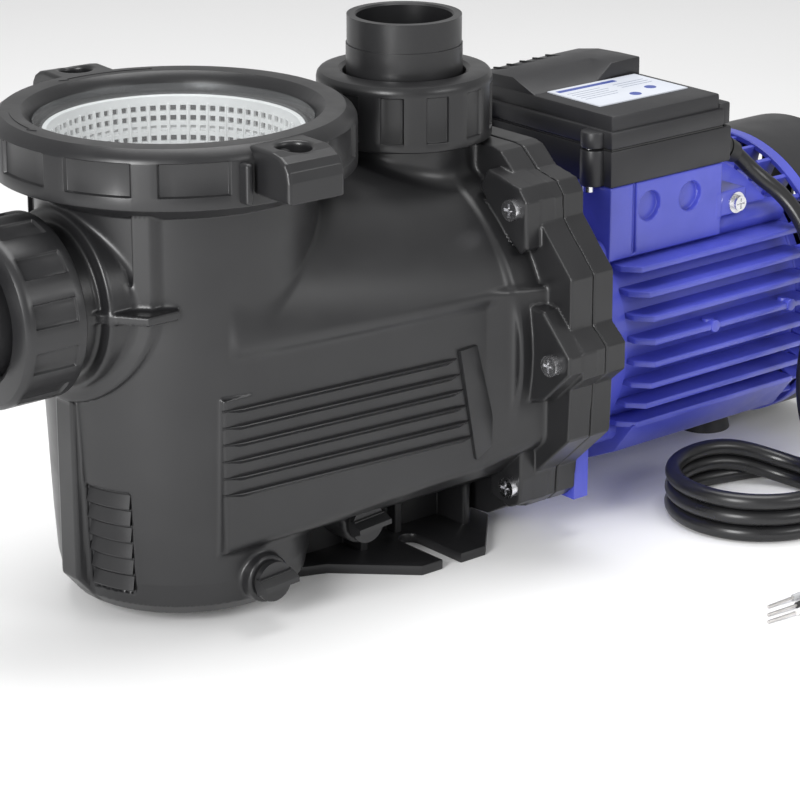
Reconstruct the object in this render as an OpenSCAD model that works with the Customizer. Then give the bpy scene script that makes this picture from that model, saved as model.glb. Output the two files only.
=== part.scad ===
// Self-priming pool pump with strainer pot, union ports and finned motor.
// Millimetres. X = 0 at the discharge port axis, Y = 0 at the shaft plane, Z = 0 at the floor.
// +X runs from the suction port towards the motor.

/* [Ports] */
// outside diameter of both solvent tailpieces
port_od = 60; // [50:0.5:75]
// bore of the solvent socket, for a 50 mm pipe
port_bore = 50.2; // [49:0.1:63]
// depth of the solvent socket
socket_depth = 30; // [20:1:40]
// height of the suction axis above the floor
suction_z = 170; // [150:1:200]
// distance from the discharge axis to the suction nut's rear face
suction_x = -234; // [-260:1:-220]
// height of the discharge nut's lower face
discharge_z = 217; // [210:1:230]
// union nut outside radius
nut_r = 46.1; // [44:0.1:50]
// union nut height
nut_h = 35; // [28:1:40]

/* [Strainer pot] */
// pot axis, measured from the discharge axis
pot_x = -148.3; // [-160:0.1:-130]
// outer radius under the lock ring
pot_r = 70; // [60:1:85]
// pot wall thickness
pot_wall = 5; // [3:0.5:8]
// height of the pot collar's top face
collar_z = 236; // [230:1:245]
// lock ring outer radius at the skirt
ring_r = 90.7; // [85:0.1:95]
// radius of the window in the lock ring
window_r = 70; // [60:1:75]

/* [Volute] */
// height of the rear flange circle's centre
flange_z = 113.5; // [105:0.5:125]
// circle of the casing screws
screw_circle_r = 107.4; // [100:0.1:110]
// number of casing screws
screw_count = 8; // [4:1:12]
// height of the motor shaft
shaft_z = 93.5; // [85:0.5:105]
// impeller radius
impeller_r = 46; // [40:1:50]

/* [Motor] */
// fin tip radius
fin_r = 84.6; // [78:0.1:90]
// stator bore of the frame
frame_bore_r = 64; // [58:0.5:68]
// front end of the finned frame
frame_x0 = 98; // [90:1:110]
// rear end of the finned frame
frame_x1 = 232; // [200:1:260]
// pitch of the side fins
fin_pitch = 12.67; // [10:0.01:16]
// number of side fins on each side
fin_count = 8; // [5:1:10]

/* [Base] */
// thickness of the base plate
base_t = 5.5; // [4:0.5:10]
// centre of the open bolt slots
slot_x = -26.2; // [-40:0.1:-10]
// width of the open bolt slots
slot_w = 12.5; // [8:0.5:16]

/* [Cord] */
// cord outside diameter
cord_d = 9; // [7:0.5:11]
// number of turns in the coil
coil_turns = 3; // [2:1:5]
// radius of the coil at the cord's centre line
coil_r = 45.5; // [40:0.5:60]

/* [Hidden] */
$fn = 64;
e = 0.02;
// running clearance between turning or sliding faces
run = 0.05;

// union parts share one set of sizes, drawn along +Z from the neck
neck_r = 37;
neck_bore_r = 23.5;
neck_thread_r = 41.5;
neck_len = 21;
collar_r = 40;
collar_t = 6;
tail_len = 42.4;
oring_minor = 1.8;

// casing
chamber_x0 = -75;
chamber_r0 = 62;
chamber_x1 = 36;
chamber_r1 = 86;
lug_x0 = 10;
flange_x0 = 20;
flange_x1 = 36;
plate_x1 = 50;
gasket_r = 92;
divider_t = 6;
// the side panel leans outwards by this much per millimetre of X
flare = 0.081;
panel_y0 = 68;
panel_x0 = -171;
panel_x1 = 22;

// half outline of the castellated rear flange, from top to bottom
flange_half = [
    [0, 215], [47, 215], [53.2, 213.8], [64.2, 204.2], [79.5, 200.9], [85, 194.6], [85.3, 182.3],
    [108.6, 157.4], [108.8, 129.8], [118.9, 121], [118.9, 106], [109.7, 98], [108.5, 69],
    [83.8, 45.2], [82.6, 30], [76, 24], [62, 20], [46, 11], [0, 6.5]
];

// plugs: [x, face y, z] of the drain plug seats, axis along -Y
pot_plug_at = [-147.6, -71, 25.5];
volute_plug_at = [-71, -51, 31];
plug_r = 7;

// motor
shield_x0 = 50;
shaft_r = 10;
front_bearing_x = 66;
rear_bearing_x = 236;
stator_x0 = 116;
stator_x1 = 204;
rotor_r = 34;
air_gap = 0.5;
stator_slots = 24;
tie_r = 72;
box_x0 = 93.6;
box_x1 = 178.6;
// cover screws stand in front of the box wall
post_x = box_x0 - 4;
box_y = 60;
box_z0 = 182;
box_z1 = 202.2;
cover_z0 = 203;
fan_x0 = 256;
cover_x0 = 250;
cover_x1 = 305;
foot_at = [232, 0];

// cord
coil_at = [153.6, -117];
gland_at = [box_x1, -47, 192];
gland_tilt = 25;
gland_len = 24;
cord_route = [
    [200.4, -47, 181.9], [205, -48.5, 177.5], [210, -51, 171.5], [216.5, -56, 164.5],
    [222, -63, 158], [225, -71, 150], [225.5, -80, 140], [223, -89, 127], [219, -95, 112],
    [214, -98.5, 95], [210.5, -99.5, 78], [208.7, -98.8, 60], [207.1, -103.3, 40.5], [202.5, -115.7, 27.3]
];
tail_route = [
    [186, -78.8, 4.5], [201, -84.5, 4.5], [214, -95, 4.5], [222.5, -110, 4.5], [226, -128, 4.5],
    [224.5, -148, 4.5], [218, -168, 4.5], [207, -187, 4.5], [192, -203, 4.5], [176, -215, 4.5],
    [160, -223, 4.5], [144, -228, 4.5], [126, -230, 4.5], [108, -229, 4.5]
];
lead_starts = [[108, -226.8, 5.5], [108, -229, 3.2], [108, -231.2, 5.5]];
lead_ends = [[77.4, -217.6, 1.7], [71.3, -225.6, 1.7], [64.5, -232, 1.7]];
tip_ends = [[60, -216.6, 1], [52.4, -223.7, 1], [46, -229.9, 1]];

// ---------- helpers ----------

// solid cylinder along +X from x0 to x1
module rod_x(x0, x1, r, y = 0, z = 0) {
    translate([x0, y, z]) rotate([0, 90, 0]) cylinder(h = x1 - x0, r = r);
}

// ring along +X
module ring_x(x0, x1, ro, ri, z = shaft_z) {
    difference() {
        rod_x(x0, x1, ro, 0, z);
        rod_x(x0 - 1, x1 + 1, ri, 0, z);
    }
}

// cone along +X, radius ra at x0 and rb at x1
module cone_x(x0, x1, ra, rb, z = shaft_z) {
    translate([x0, 0, z]) rotate([0, 90, 0]) cylinder(h = x1 - x0, r1 = ra, r2 = rb);
}

module ring_z(z0, z1, ro, ri) {
    difference() {
        translate([0, 0, z0]) cylinder(h = z1 - z0, r = ro);
        translate([0, 0, z0 - 1]) cylinder(h = z1 - z0 + 2, r = ri);
    }
}

// round-section ring about Z
module o_ring(r, minor) {
    rotate_extrude($fn = 96) translate([r, 0]) circle(r = minor);
}

// polygon given as [y, z] points, pushed along +X from x0 to x1
module section_x(x0, x1, points) {
    translate([x0, 0, 0]) rotate([90, 0, 90]) linear_extrude(x1 - x0) polygon(points);
}

function mirrored(half) = concat(
    [for (p = half) [-p[0], p[1]]],
    [for (i = [len(half) - 1 : -1 : 0]) if (half[i][0] > 0) half[i]]
);

// casing screw position, i-th of screw_count
function screw_yz(i) = [
    screw_circle_r * cos(i * 360 / screw_count),
    flange_z + screw_circle_r * sin(i * 360 / screw_count)
];

// the highest and lowest places on the circle have no room for a screw
screw_list = [for (i = [0 : screw_count - 1]) if (abs(cos(i * 360 / screw_count)) > 0.1) i];

// places children in the union frame of a port: origin at the nut's rear face, +Z outwards
module at_suction() {
    translate([suction_x, 0, suction_z]) rotate([0, -90, 0]) children();
}

module at_discharge() {
    translate([0, 0, discharge_z]) children();
}

// ---------- union ports ----------

module union_nut() {
    thread_top = neck_len + collar_t + 0.3;
    difference() {
        union() {
            cylinder(h = nut_h - 3, r = nut_r);
            translate([0, 0, nut_h - 3]) cylinder(h = 3, r1 = nut_r, r2 = nut_r - 3);
        }
        translate([0, 0, -1]) cylinder(h = thread_top + 1, r = neck_thread_r + 0.4);
        translate([0, 0, thread_top - 1]) cylinder(h = 20, r = port_od / 2 + 0.9);
        translate([0, 0, nut_h - 4]) cylinder(h = 5, r1 = port_od / 2 + 0.9, r2 = port_od / 2 + 6);
        // grip panels
        for (i = [0 : 11])
            rotate([0, 0, i * 30 + 9])
                translate([nut_r - 1.2, -7, 5])
                    cube([4, 14, nut_h - 11]);
    }
}

module tailpiece() {
    difference() {
        union() {
            translate([0, 0, neck_len]) cylinder(h = collar_t, r = collar_r);
            translate([0, 0, neck_len]) cylinder(h = tail_len - 15, r = port_od / 2 + 0.5);
            translate([0, 0, neck_len]) cylinder(h = tail_len, r = port_od / 2);
        }
        translate([0, 0, neck_len - 1]) cylinder(h = tail_len + 2, r = port_bore / 2 - 2.5);
        translate([0, 0, neck_len + tail_len - socket_depth])
            cylinder(h = socket_depth + 1, r = port_bore / 2);
        translate([0, 0, neck_len + tail_len - 1])
            cylinder(h = 1.01, r1 = port_bore / 2, r2 = port_bore / 2 + 0.9);
    }
}

module union_o_ring() {
    translate([0, 0, neck_len - oring_minor]) o_ring(31, oring_minor - run);
}

module neck_solid(length_below) {
    translate([0, 0, -length_below]) cylinder(h = length_below + 3, r = neck_r);
    translate([0, 0, 3]) cylinder(h = neck_len - 3, r = neck_thread_r);
}

module neck_cuts(length_below) {
    translate([0, 0, -length_below]) cylinder(h = length_below + neck_len + 1, r = neck_bore_r);
    // O-ring groove in the neck's end face
    difference() {
        translate([0, 0, neck_len - 2 * oring_minor]) cylinder(h = 10, r = 31 + 2.3);
        translate([0, 0, neck_len - 2 * oring_minor - 1]) cylinder(h = 12, r = 31 - 2.3);
    }
}

module suction_nut() {
    color([0.2, 0.2, 0.22]) at_suction() union_nut();
}

module suction_tailpiece() {
    color([0.16, 0.16, 0.17]) at_suction() tailpiece();
}

module suction_o_ring() {
    color([0.06, 0.06, 0.06]) at_suction() union_o_ring();
}

module discharge_nut() {
    color([0.2, 0.2, 0.22]) at_discharge() union_nut();
}

module discharge_tailpiece() {
    color([0.16, 0.16, 0.17]) at_discharge() tailpiece();
}

module discharge_o_ring() {
    color([0.06, 0.06, 0.06]) at_discharge() union_o_ring();
}

// ---------- strainer lid ----------

lid_groove_r = 75;

module lid_o_ring() {
    color([0.06, 0.06, 0.06])
        translate([pot_x, 0, collar_z - 2 + oring_minor])
            o_ring(lid_groove_r, oring_minor - run);
}

module lid_lens() {
    z0 = collar_z + 2 * oring_minor - 2;
    color([0.85, 0.92, 0.95, 0.4])
        translate([pot_x, 0, 0])
            difference() {
                union() {
                    translate([0, 0, z0]) cylinder(h = 6, r = 81);
                    translate([0, 0, z0]) cylinder(h = 12, r = window_r - 0.5);
                }
                // hollow underside
                translate([0, 0, z0 - 1]) cylinder(h = 9, r = 66);
            }
}

module ring_lug() {
    difference() {
        // top face rolls over into the front face
        translate([-16.5, 0, 0])
            rotate([90, 0, 90])
                linear_extrude(33)
                    polygon([[-116, 231.5], [-116, 245], [-114, 250], [-108, 254], [-103, 254.8],
                             [-80, 254.8], [-80, 231.5]]);
        translate([0, -98, 220]) cylinder(h = 40, r = 8.5);
    }
    translate([-24, -93.5, 228]) cube([4, 9, 20]);
}

module lock_ring() {
    color([0.22, 0.22, 0.24])
        translate([pot_x, 0, 0])
            difference() {
                union() {
                    translate([0, 0, 225.7]) cylinder(h = 24, r = ring_r);
                    translate([0, 0, 249.7]) cylinder(h = 5.3, r1 = ring_r, r2 = 85);
                    rotate([0, 0, -1]) ring_lug();
                    rotate([0, 0, 175]) ring_lug();
                }
                // skirt bore and window
                translate([0, 0, 220]) cylinder(h = 24.1, r = 83.5);
                translate([0, 0, 240]) cylinder(h = 20, r = window_r);
                translate([0, 0, 250]) cylinder(h = 5.01, r1 = window_r, r2 = window_r + 4);
                // grip panels
                for (i = [0 : 11])
                    if (i != 9 && i != 3)
                        rotate([0, 0, i * 30])
                            translate([ring_r - 2, -16.5, 233])
                                cube([4, 33, 17]);
            }
}

basket_top = collar_z + 1;

module strainer_basket() {
    slot_rows = 4;
    color([0.94, 0.94, 0.92])
        translate([pot_x, 0, 0])
            difference() {
                union() {
                    translate([0, 0, 224.1]) cylinder(h = basket_top - 224.1, r = 68.6);
                    translate([0, 0, 108]) cylinder(h = 116.2, r1 = 56, r2 = 62);
                }
                translate([0, 0, 224]) cylinder(h = 20, r1 = 60, r2 = 68.4);
                translate([0, 0, 111]) cylinder(h = 113.1, r1 = 53.6, r2 = 60);
                // slots through the wall
                for (row = [0 : slot_rows - 1])
                    for (i = [0 : 5])
                        rotate([0, 0, i * 30 + 15])
                            translate([-80, -4, 118 + row * 25])
                                cube([160, 8, 17]);
                // inlet window facing the suction port
                translate([0, 0, suction_z]) rotate([0, -90, 0]) cylinder(h = 90, r = 26);
                // floor holes
                for (i = [0 : 7])
                    rotate([0, 0, i * 45])
                        translate([32, 0, 100]) cylinder(h = 20, r = 6);
            }
}

// ---------- casing ----------

module pot_outside() {
    rotate_extrude($fn = 128)
        polygon([[0, 5], [42, 5], [54, 7.5], [61, 13], [64, 21], [66, 50], [68, 100], [70, 150], [70, 216],
                 [79, 224], [82, 226], [82, collar_z], [0, collar_z]]);
}

module pot_inside() {
    rotate_extrude($fn = 128)
        polygon([[0, 10], [42, 10], [56, 16], [59, 22], [61, 50], [63, 100], [64.5, 150], [64.5, 224],
                 [69.5, 224], [69.5, 300], [0, 300]]);
}

// U-shaped raised pad round the suction port
module strap_pad() {
    intersection() {
        translate([pot_x, 0, suction_z])
            rotate([90, 0, -90])
                linear_extrude(100)
                    difference() {
                        union() {
                            circle(r = 52);
                            translate([-52, 0]) square([104, 49]);
                        }
                        circle(r = 44);
                        translate([-44, 0]) square([88, 60]);
                    }
        translate([pot_x, 0, 100]) cylinder(h = 122, r = pot_r + 2);
    }
}

// flat-sided volute body with a rounded back
module body_outside() {
    // flared side panels
    intersection() {
        translate([0, 0, 20])
            linear_extrude(130)
                polygon([[panel_x0 + 40, -71.2], [panel_x1, -83.6], [panel_x1, 83.6], [panel_x0 + 40, 71.2]]);
        section_x(-140, panel_x1,
                  [[-84, 150], [-84, 62], [-66, 44], [-30, 26], [30, 26], [66, 44], [84, 62], [84, 150]]);
    }
    // rounded back, highest at the pot, meeting the flange circle
    intersection() {
        translate([-150, 0, 146])
            rotate([0, 90 + atan2(146 - flange_z, 170), 0])
                cylinder(h = 200, r1 = 73, r2 = 94.5);
        translate([-140, -120, 138]) cube([162, 240, 120]);
    }
    // round rear end that runs into the flange
    rod_x(-6, flange_x0 + 1, 91.5, 0, flange_z);
}

module louvres() {
    for (side = [-1, 1])
        for (i = [0 : 5])
            translate([panel_x0 + 6, side * panel_y0, 72.4 + i * 8.8 - 1.9])
                rotate([0, 0, side * atan(flare)])
                    translate([0, -3 + side * 0.8, 0])
                        cube([140, 6, 3.8]);
}

module flange_outline(x0, x1) {
    section_x(x0, x1, mirrored(flange_half));
}

module lug_blocks(x0, x1) {
    for (i = screw_list)
        translate([0, screw_yz(i)[0], screw_yz(i)[1]])
            rod_x(x0, x1, 11.4);
}

module base_plate() {
    linear_extrude(base_t)
        difference() {
            polygon([[-104, -30], [-97, -31], [-83, -36], [-46.5, -70.5], [-2.8, -70.5], [29, -37], [29, 37],
                     [-2.8, 70.5], [-46.5, 70.5], [-83, 36], [-97, 31], [-104, 30]]);
            for (side = [-1, 1]) {
                translate([slot_x, side * 36]) circle(d = slot_w);
                translate([slot_x - slot_w / 2, side > 0 ? 36 : -80]) square([slot_w, 44]);
            }
        }
    // pedestal and its cross ribs, up to the volute
    translate([-104, -18, 0]) cube([132, 36, 30]);
    for (x = [-56, 6]) {
        rib_y = x > 0 ? 40 : 34;
        translate([x, -rib_y, 0]) cube([5, 2 * rib_y, 34]);
    }
}

module pump_casing() {
    color([0.23, 0.23, 0.25])
        difference() {
            union() {
                translate([pot_x, 0, 0]) pot_outside();
                body_outside();
                strap_pad();
                louvres();
                // rear flange and screw lugs
                flange_outline(flange_x0, flange_x1);
                intersection() {
                    lug_blocks(lug_x0, flange_x0 + 1);
                    flange_outline(lug_x0, flange_x0 + 1);
                }
                // suction neck with boss, gussets and pilaster
                at_suction() neck_solid(30);
                rod_x(-222, -200, 45, 0, suction_z);
                for (side = [-1, 1])
                    translate([0, 0, suction_z - 2.5])
                        linear_extrude(5)
                            polygon([[-227, side * 36], [-209, side * 60], [-190, side * 60],
                                     [-190, side * 30]]);
                section_x(-219.5, -200, [[-7.5, 14], [7.5, 14], [7.5, 118], [-7.5, 118]]);
                // discharge neck, flared at its foot
                at_discharge() neck_solid(30);
                translate([0, 0, 190]) cylinder(h = 14, r1 = 47, r2 = neck_r);
                // drain plug bosses
                translate(pot_plug_at) rotate([-90, 0, 0]) cylinder(h = 14, r = 12.5);
                translate(volute_plug_at) rotate([-90, 0, 0]) cylinder(h = 22, r = 12);
                translate([volute_plug_at[0] - 9, -40, 14]) cube([18, 24, 16]);
                base_plate();
            }
            // strainer space
            translate([pot_x, 0, 0]) pot_inside();
            // O-ring groove in the collar
            translate([pot_x, 0, 0])
                ring_z(collar_z - 2, collar_z + 5, lid_groove_r + 2.2, lid_groove_r - 2.2);
            // pump chamber
            cone_x(chamber_x0, chamber_x1 + e, chamber_r0, chamber_r1, flange_z);
            // intake from the pot to the impeller
            rod_x(pot_x + 30, chamber_x0 + 1, 24, 0, shaft_z);
            at_suction() neck_cuts(42);
            at_discharge() neck_cuts(60);
            // gasket groove in the flange face
            ring_x(flange_x1 - 3.6, flange_x1 + 1, gasket_r + 2.3, gasket_r - 2.3, flange_z);
            // casing screw holes
            for (i = screw_list)
                translate([0, screw_yz(i)[0], screw_yz(i)[1]])
                    rod_x(lug_x0 - 1, flange_x1 + 1, 3.2);
            // drain holes
            translate(pot_plug_at) rotate([-90, 0, 0])
                translate([0, 0, -1]) cylinder(h = 26, r = plug_r + run);
            translate(volute_plug_at) rotate([-90, 0, 0])
                translate([0, 0, -1]) cylinder(h = 26, r = plug_r + run);
            translate([volute_plug_at[0], -28, volute_plug_at[2]]) cylinder(h = 30, r = 5);
            // louvre slots low on the pot
            for (i = [0 : 5])
                translate([pot_x, 0, 24 + i * 8.6])
                    rotate([0, 0, -170])
                        rotate_extrude(angle = 21)
                            translate([63.2 + i * 0.3, 0]) square([10, 3]);
            // the discharge neck stops at the flange face, and the body clears the volute plug's head
            translate([flange_x1, -60, 150]) cube([30, 120, 66.5]);
            translate(volute_plug_at) rotate([90, 0, 0]) cylinder(h = 40, r = 11.5);
            // small notch under each front prong
            for (side = [-1, 1])
                translate([-40, side * 70, -1]) cube([6, 8, 3.5], center = true);
        }
    // intake snout ring that carries the diffuser
    color([0.23, 0.23, 0.25])
        ring_x(chamber_x0 - 1, -58, 28, 24);
}

module casing_gasket() {
    color([0.06, 0.06, 0.06])
        translate([flange_x1 - 1.75, 0, flange_z]) rotate([0, 90, 0]) o_ring(gasket_r, 1.7);
}

// flange-mounted plate that closes the chamber and carries the seal seat
module seal_plate() {
    color([0.2, 0.2, 0.22])
        difference() {
            union() {
                flange_outline(flange_x1, plate_x1);
                rod_x(24, flange_x1 + 1, chamber_r1 - 3, 0, flange_z);
                rod_x(14, 30, 26, 0, shaft_z);
            }
            rod_x(10, plate_x1 + 1, 11.5, 0, shaft_z);
            rod_x(10, 24, 17 + run, 0, shaft_z);
            for (i = screw_list)
                translate([0, screw_yz(i)[0], screw_yz(i)[1]])
                    rod_x(flange_x1 - 1, 47, 2.9 + run);
            for (a = [45 : 90 : 315])
                translate([0, 74 * cos(a), 74 * sin(a)])
                    rod_x(40, plate_x1 + 1, 4 + run, 0, shaft_z);
        }
}

module casing_screws() {
    color([0.8, 0.8, 0.82])
        for (i = screw_list)
            translate([0, screw_yz(i)[0], screw_yz(i)[1]])
                difference() {
                    union() {
                        rod_x(6, lug_x0, 5.6);
                        rod_x(lug_x0 - 0.5, 46, 2.9);
                    }
                    translate([5, -0.7, -3.6]) cube([2.4, 1.4, 7.2]);
                    translate([5, -3.6, -0.7]) cube([2.4, 7.2, 1.4]);
                }
}

module diffuser() {
    color([0.3, 0.3, 0.32])
        difference() {
            union() {
                rod_x(-36, 12, impeller_r + 4, 0, shaft_z);
                rod_x(-62, -30, 24 - run, 0, shaft_z);
            }
            rod_x(-64, 13, 19, 0, shaft_z);
            rod_x(-32, 13, impeller_r + 1.5, 0, shaft_z);
            for (i = [0 : 3])
                translate([-26, 0, shaft_z]) rotate([i * 45 + 22.5, 0, 0])
                    translate([0, -70, -8]) cube([22, 140, 16]);
        }
}

module seal_seat() {
    color([0.85, 0.85, 0.82]) ring_x(16, 24, 17, 12);
}

// ---------- drain plugs ----------

module drain_plug() {
    difference() {
        union() {
            translate([0, 0, 0.4]) cylinder(h = 19, r = plug_r);
            translate([0, 0, -4]) cylinder(h = 4, r = 10.4);
            // wedge-shaped wing
            translate([-10.6, 0, 0]) rotate([90, 0, 90]) linear_extrude(21.2)
                polygon([[-1.3, -9], [1.3, -9], [4.2, -2.8], [4.2, -1], [-4.2, -1], [-4.2, -2.8]]);
            translate([0, 0, -0.1]) cylinder(h = 0.6, r = plug_r);
        }
        // flats above and below the wing
        for (side = [-1, 1])
            translate([-12, side * 8.2 - 4, -5]) cube([24, 8, 2.2]);
    }
}

module plug_o_ring() {
    difference() {
        translate([0, 0, 0.03]) cylinder(h = 1.94, r = 9.4);
        translate([0, 0, -1]) cylinder(h = 5, r = plug_r + run);
    }
}

module at_plug(place) {
    translate([place[0], place[1] - 2, place[2]]) rotate([-90, 0, 0]) children();
}

module pot_drain_plug() {
    color([0.25, 0.25, 0.27]) at_plug(pot_plug_at) rotate([0, 0, -4]) drain_plug();
}

module pot_plug_o_ring() {
    color([0.06, 0.06, 0.06]) at_plug(pot_plug_at) plug_o_ring();
}

module volute_drain_plug() {
    color([0.25, 0.25, 0.27]) at_plug(volute_plug_at) rotate([0, 0, -4]) drain_plug();
}

module volute_plug_o_ring() {
    color([0.06, 0.06, 0.06]) at_plug(volute_plug_at) plug_o_ring();
}

// ---------- motor housing ----------

module tie_places(r = tie_r) {
    for (a = [45 : 90 : 315])
        translate([0, r * cos(a), shaft_z + r * sin(a)]) children();
}

module front_shield() {
    color([0.22, 0.24, 0.6])
        difference() {
            union() {
                rod_x(shield_x0, shield_x0 + 8, 84, 0, shaft_z);
                cone_x(shield_x0 + 7, frame_x0, 76, 71);
                tie_places() rod_x(84, frame_x0, 7);
                for (side = [-1, 1])
                    translate([shield_x0, side * 74 - 8, 22]) cube([10, 16, 34]);
            }
            rod_x(84, frame_x0 + 1, frame_bore_r - 4, 0, shaft_z);
            difference() {
                rod_x(shield_x0 + 8, 85, 66, 0, shaft_z);
                rod_x(shield_x0 + 7, 86, 31, 0, shaft_z);
            }
            rod_x(front_bearing_x, 90, 23.5 + run, 0, shaft_z);
            rod_x(shield_x0 - 1, 90, 13, 0, shaft_z);
            rod_x(shield_x0 - 1, shield_x0 + 6, 24, 0, shaft_z);
            tie_places() rod_x(80, frame_x0 + 1, 2.6);
            tie_places(74) rod_x(shield_x0 - 1, shield_x0 + 9, 4.3);
            // room for the bolt heads
            tie_places(77) rod_x(shield_x0 + 8, 72, 10.8);
        }
    // web that joins the bearing hub to the shell
    color([0.22, 0.24, 0.6])
        difference() {
            rod_x(shield_x0 + 6, shield_x0 + 8 + e, 70, 0, shaft_z);
            rod_x(shield_x0, 70, 24, 0, shaft_z);
            tie_places(74) rod_x(shield_x0 - 1, shield_x0 + 9, 4.3);
            tie_places(77) rod_x(shield_x0 + 8, 72, 10.8);
        }
}

// one plan outline of a side fin, pointed at its front end, out to the tip circle
module side_fin(k) {
    dz = 48.5 + k * fin_pitch - shaft_z;
    tip = sqrt(fin_r * fin_r - dz * dz);
    start = k > 6 ? frame_x0 + 90 : frame_x0 + 6;
    for (side = [-1, 1])
        translate([0, 0, shaft_z + dz - 1.5])
            linear_extrude(3)
                polygon([[start, side * (tip - 9)], [start + 16, side * tip], [frame_x1 - 2, side * tip],
                         [frame_x1 - 2, side * 40], [start, side * 40]]);
}

module motor_frame() {
    color([0.27, 0.3, 0.74])
        difference() {
            union() {
                rod_x(frame_x0, frame_x1, 70, 0, shaft_z);
                for (k = [0 : fin_count - 1]) side_fin(k);
                tie_places() rod_x(frame_x0, frame_x1, 7);
                // lower skirt
                section_x(frame_x0 + 6, frame_x1,
                          [[-71.6, 48.5], [-56, 29], [-24, 14.5], [24, 14.5], [56, 29], [71.6, 48.5]]);
                translate([foot_at[0] - 18, -18, 9]) cube([18, 36, 20]);
                // pad for the terminal box
                translate([box_x0, -box_y, 150]) cube([box_x1 - box_x0, 2 * box_y, box_z0 - 150]);
                // earth screw boss
                translate([box_x1 - 1, -box_y, 151]) cube([20, 24, 14]);
            }
            rod_x(frame_x0 - 1, frame_x1 + 1, frame_bore_r, 0, shaft_z);
            rod_x(frame_x0 - 1, frame_x0 + 4, frame_bore_r + 1, 0, shaft_z);
            tie_places() rod_x(frame_x0 - 1, frame_x1 + 1, 2.6);
            // wire passage
            translate([122, 0, 140]) cylinder(h = 60, r = 12);
            // hollow pad on both sides of the wire passage
            for (side = [-1, 1])
                translate([box_x0 + 6, side > 0 ? 42 : -55, 160]) cube([72, 13, 30]);
            // knockouts and drip groove
            for (x = [123, 153.9])
                for (side = [-1, 1])
                    translate([x, side * box_y, 167.6]) rotate([90, 0, 0])
                        cylinder(h = 3, r = 8.2, center = true);
            // earth screw hole
            translate([190, -box_y - 1, 157.5]) rotate([-90, 0, 0]) cylinder(h = 14, r = 2.2);
            // the pad clears the front shield and its bosses
            rod_x(80, frame_x0, 72.3, 0, shaft_z);
            tie_places() rod_x(80, frame_x0, 7.3);
            // foot stud hole
            translate([foot_at[0] - 9, 0, 8]) cylinder(h = 10, r = 3);
        }
}

module rear_shield() {
    color([0.24, 0.27, 0.68])
        difference() {
            union() {
                rod_x(frame_x1, frame_x1 + 6, 70, 0, shaft_z);
                rod_x(frame_x1 - 4, frame_x1 + 1, frame_bore_r - run, 0, shaft_z);
                rod_x(frame_x1, 250, 27, 0, shaft_z);
                tie_places() rod_x(frame_x1, 244, 7);
                // radial ribs, which also carry the fan cover
                for (i = [0 : 11])
                    translate([0, 0, shaft_z]) rotate([i * 30 + 15, 0, 0])
                        translate([frame_x1, -2, 0]) cube([18, 4, 81]);
                tie_places(74) rod_x(246, 258, 7.6);
            }
            rod_x(frame_x1 - 5, frame_x1 + 1, 56, 0, shaft_z);
            rod_x(rear_bearing_x, 248, 20 + run, 0, shaft_z);
            rod_x(frame_x1 - 5, 251, 10, 0, shaft_z);
            tie_places() rod_x(frame_x1 - 1, 259, 2.6);
            tie_places() rod_x(242, 259, 5);
        }
}

module fan_cover() {
    color([0.17, 0.17, 0.18])
        difference() {
            union() {
                rod_x(cover_x0, cover_x1 - 6, 84, 0, shaft_z);
                cone_x(cover_x1 - 6, cover_x1, 84, 78);
            }
            rod_x(cover_x0 - 1, cover_x1 - 6, 82.2, 0, shaft_z);
            cone_x(cover_x1 - 6 - e, cover_x1 - 2, 82.2, 76.5);
            // rear grille
            for (y = [-60 : 10 : 60]) {
                half = sqrt(66 * 66 - y * y);
                translate([cover_x1 - 4, y - 2.5, shaft_z - half]) cube([8, 5, 2 * half]);
            }
            // holes for the side screws
            for (a = [45 : 90 : 315])
                translate([0, 0, shaft_z]) rotate([a, 0, 0])
                    translate([252.5, 86, 0]) rotate([90, 0, 0]) cylinder(h = 8, r = 2.3);
        }
    // grille cross bar
    color([0.17, 0.17, 0.18])
        for (z = [-30, 0, 30])
            translate([cover_x1 - 2, -68, shaft_z + z - 2]) cube([2, 136, 4]);
}

module fan_cover_screws() {
    color([0.75, 0.75, 0.78])
        for (a = [45 : 90 : 315])
            translate([0, 0, shaft_z]) rotate([a, 0, 0])
                translate([252.5, 84, 0]) {
                    rotate([-90, 0, 0]) cylinder(h = 2.2, r = 4);
                    translate([0, 0.5, 0]) rotate([90, 0, 0]) cylinder(h = 2.2, r = 2.2);
                }
}

module tie_bolts() {
    color([0.7, 0.7, 0.73])
        tie_places() {
            rod_x(81, 243, 2.5);
            rod_x(243.9, 247.5, 4.4);
            rod_x(242.5, 244, 2.5);
        }
}

module motor_bolts() {
    color([0.7, 0.7, 0.73])
        tie_places(74) {
            rod_x(42, shield_x0 + 8, 4);
            translate([shield_x0 + 8, 0, 0]) rotate([0, 90, 0]) cylinder(h = 5, r = 7, $fn = 6);
        }
}

module motor_foot() {
    color([0.1, 0.1, 0.1]) {
        translate([foot_at[0], foot_at[1], 0]) cylinder(h = 8.98, r1 = 15.5, r2 = 13.5);
        translate([foot_at[0] - 9, 0, 8.5]) cylinder(h = 8, r = 2.95);
    }
}

module earth_screw() {
    color([0.82, 0.82, 0.84])
        translate([190, -box_y, 157.5])
            rotate([90, 0, 0])
                difference() {
                    union() {
                        cylinder(h = 1, r = 6);
                        translate([0, 0, 0.9]) cylinder(h = 3, r = 4.2);
                        translate([0, 0, -10]) cylinder(h = 10.5, r = 2.15);
                    }
                    translate([-3, -0.6, 2.9]) cube([6, 1.2, 2]);
                    translate([-0.6, -3, 2.9]) cube([1.2, 6, 2]);
                }
}

// ---------- motor inside ----------

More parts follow.
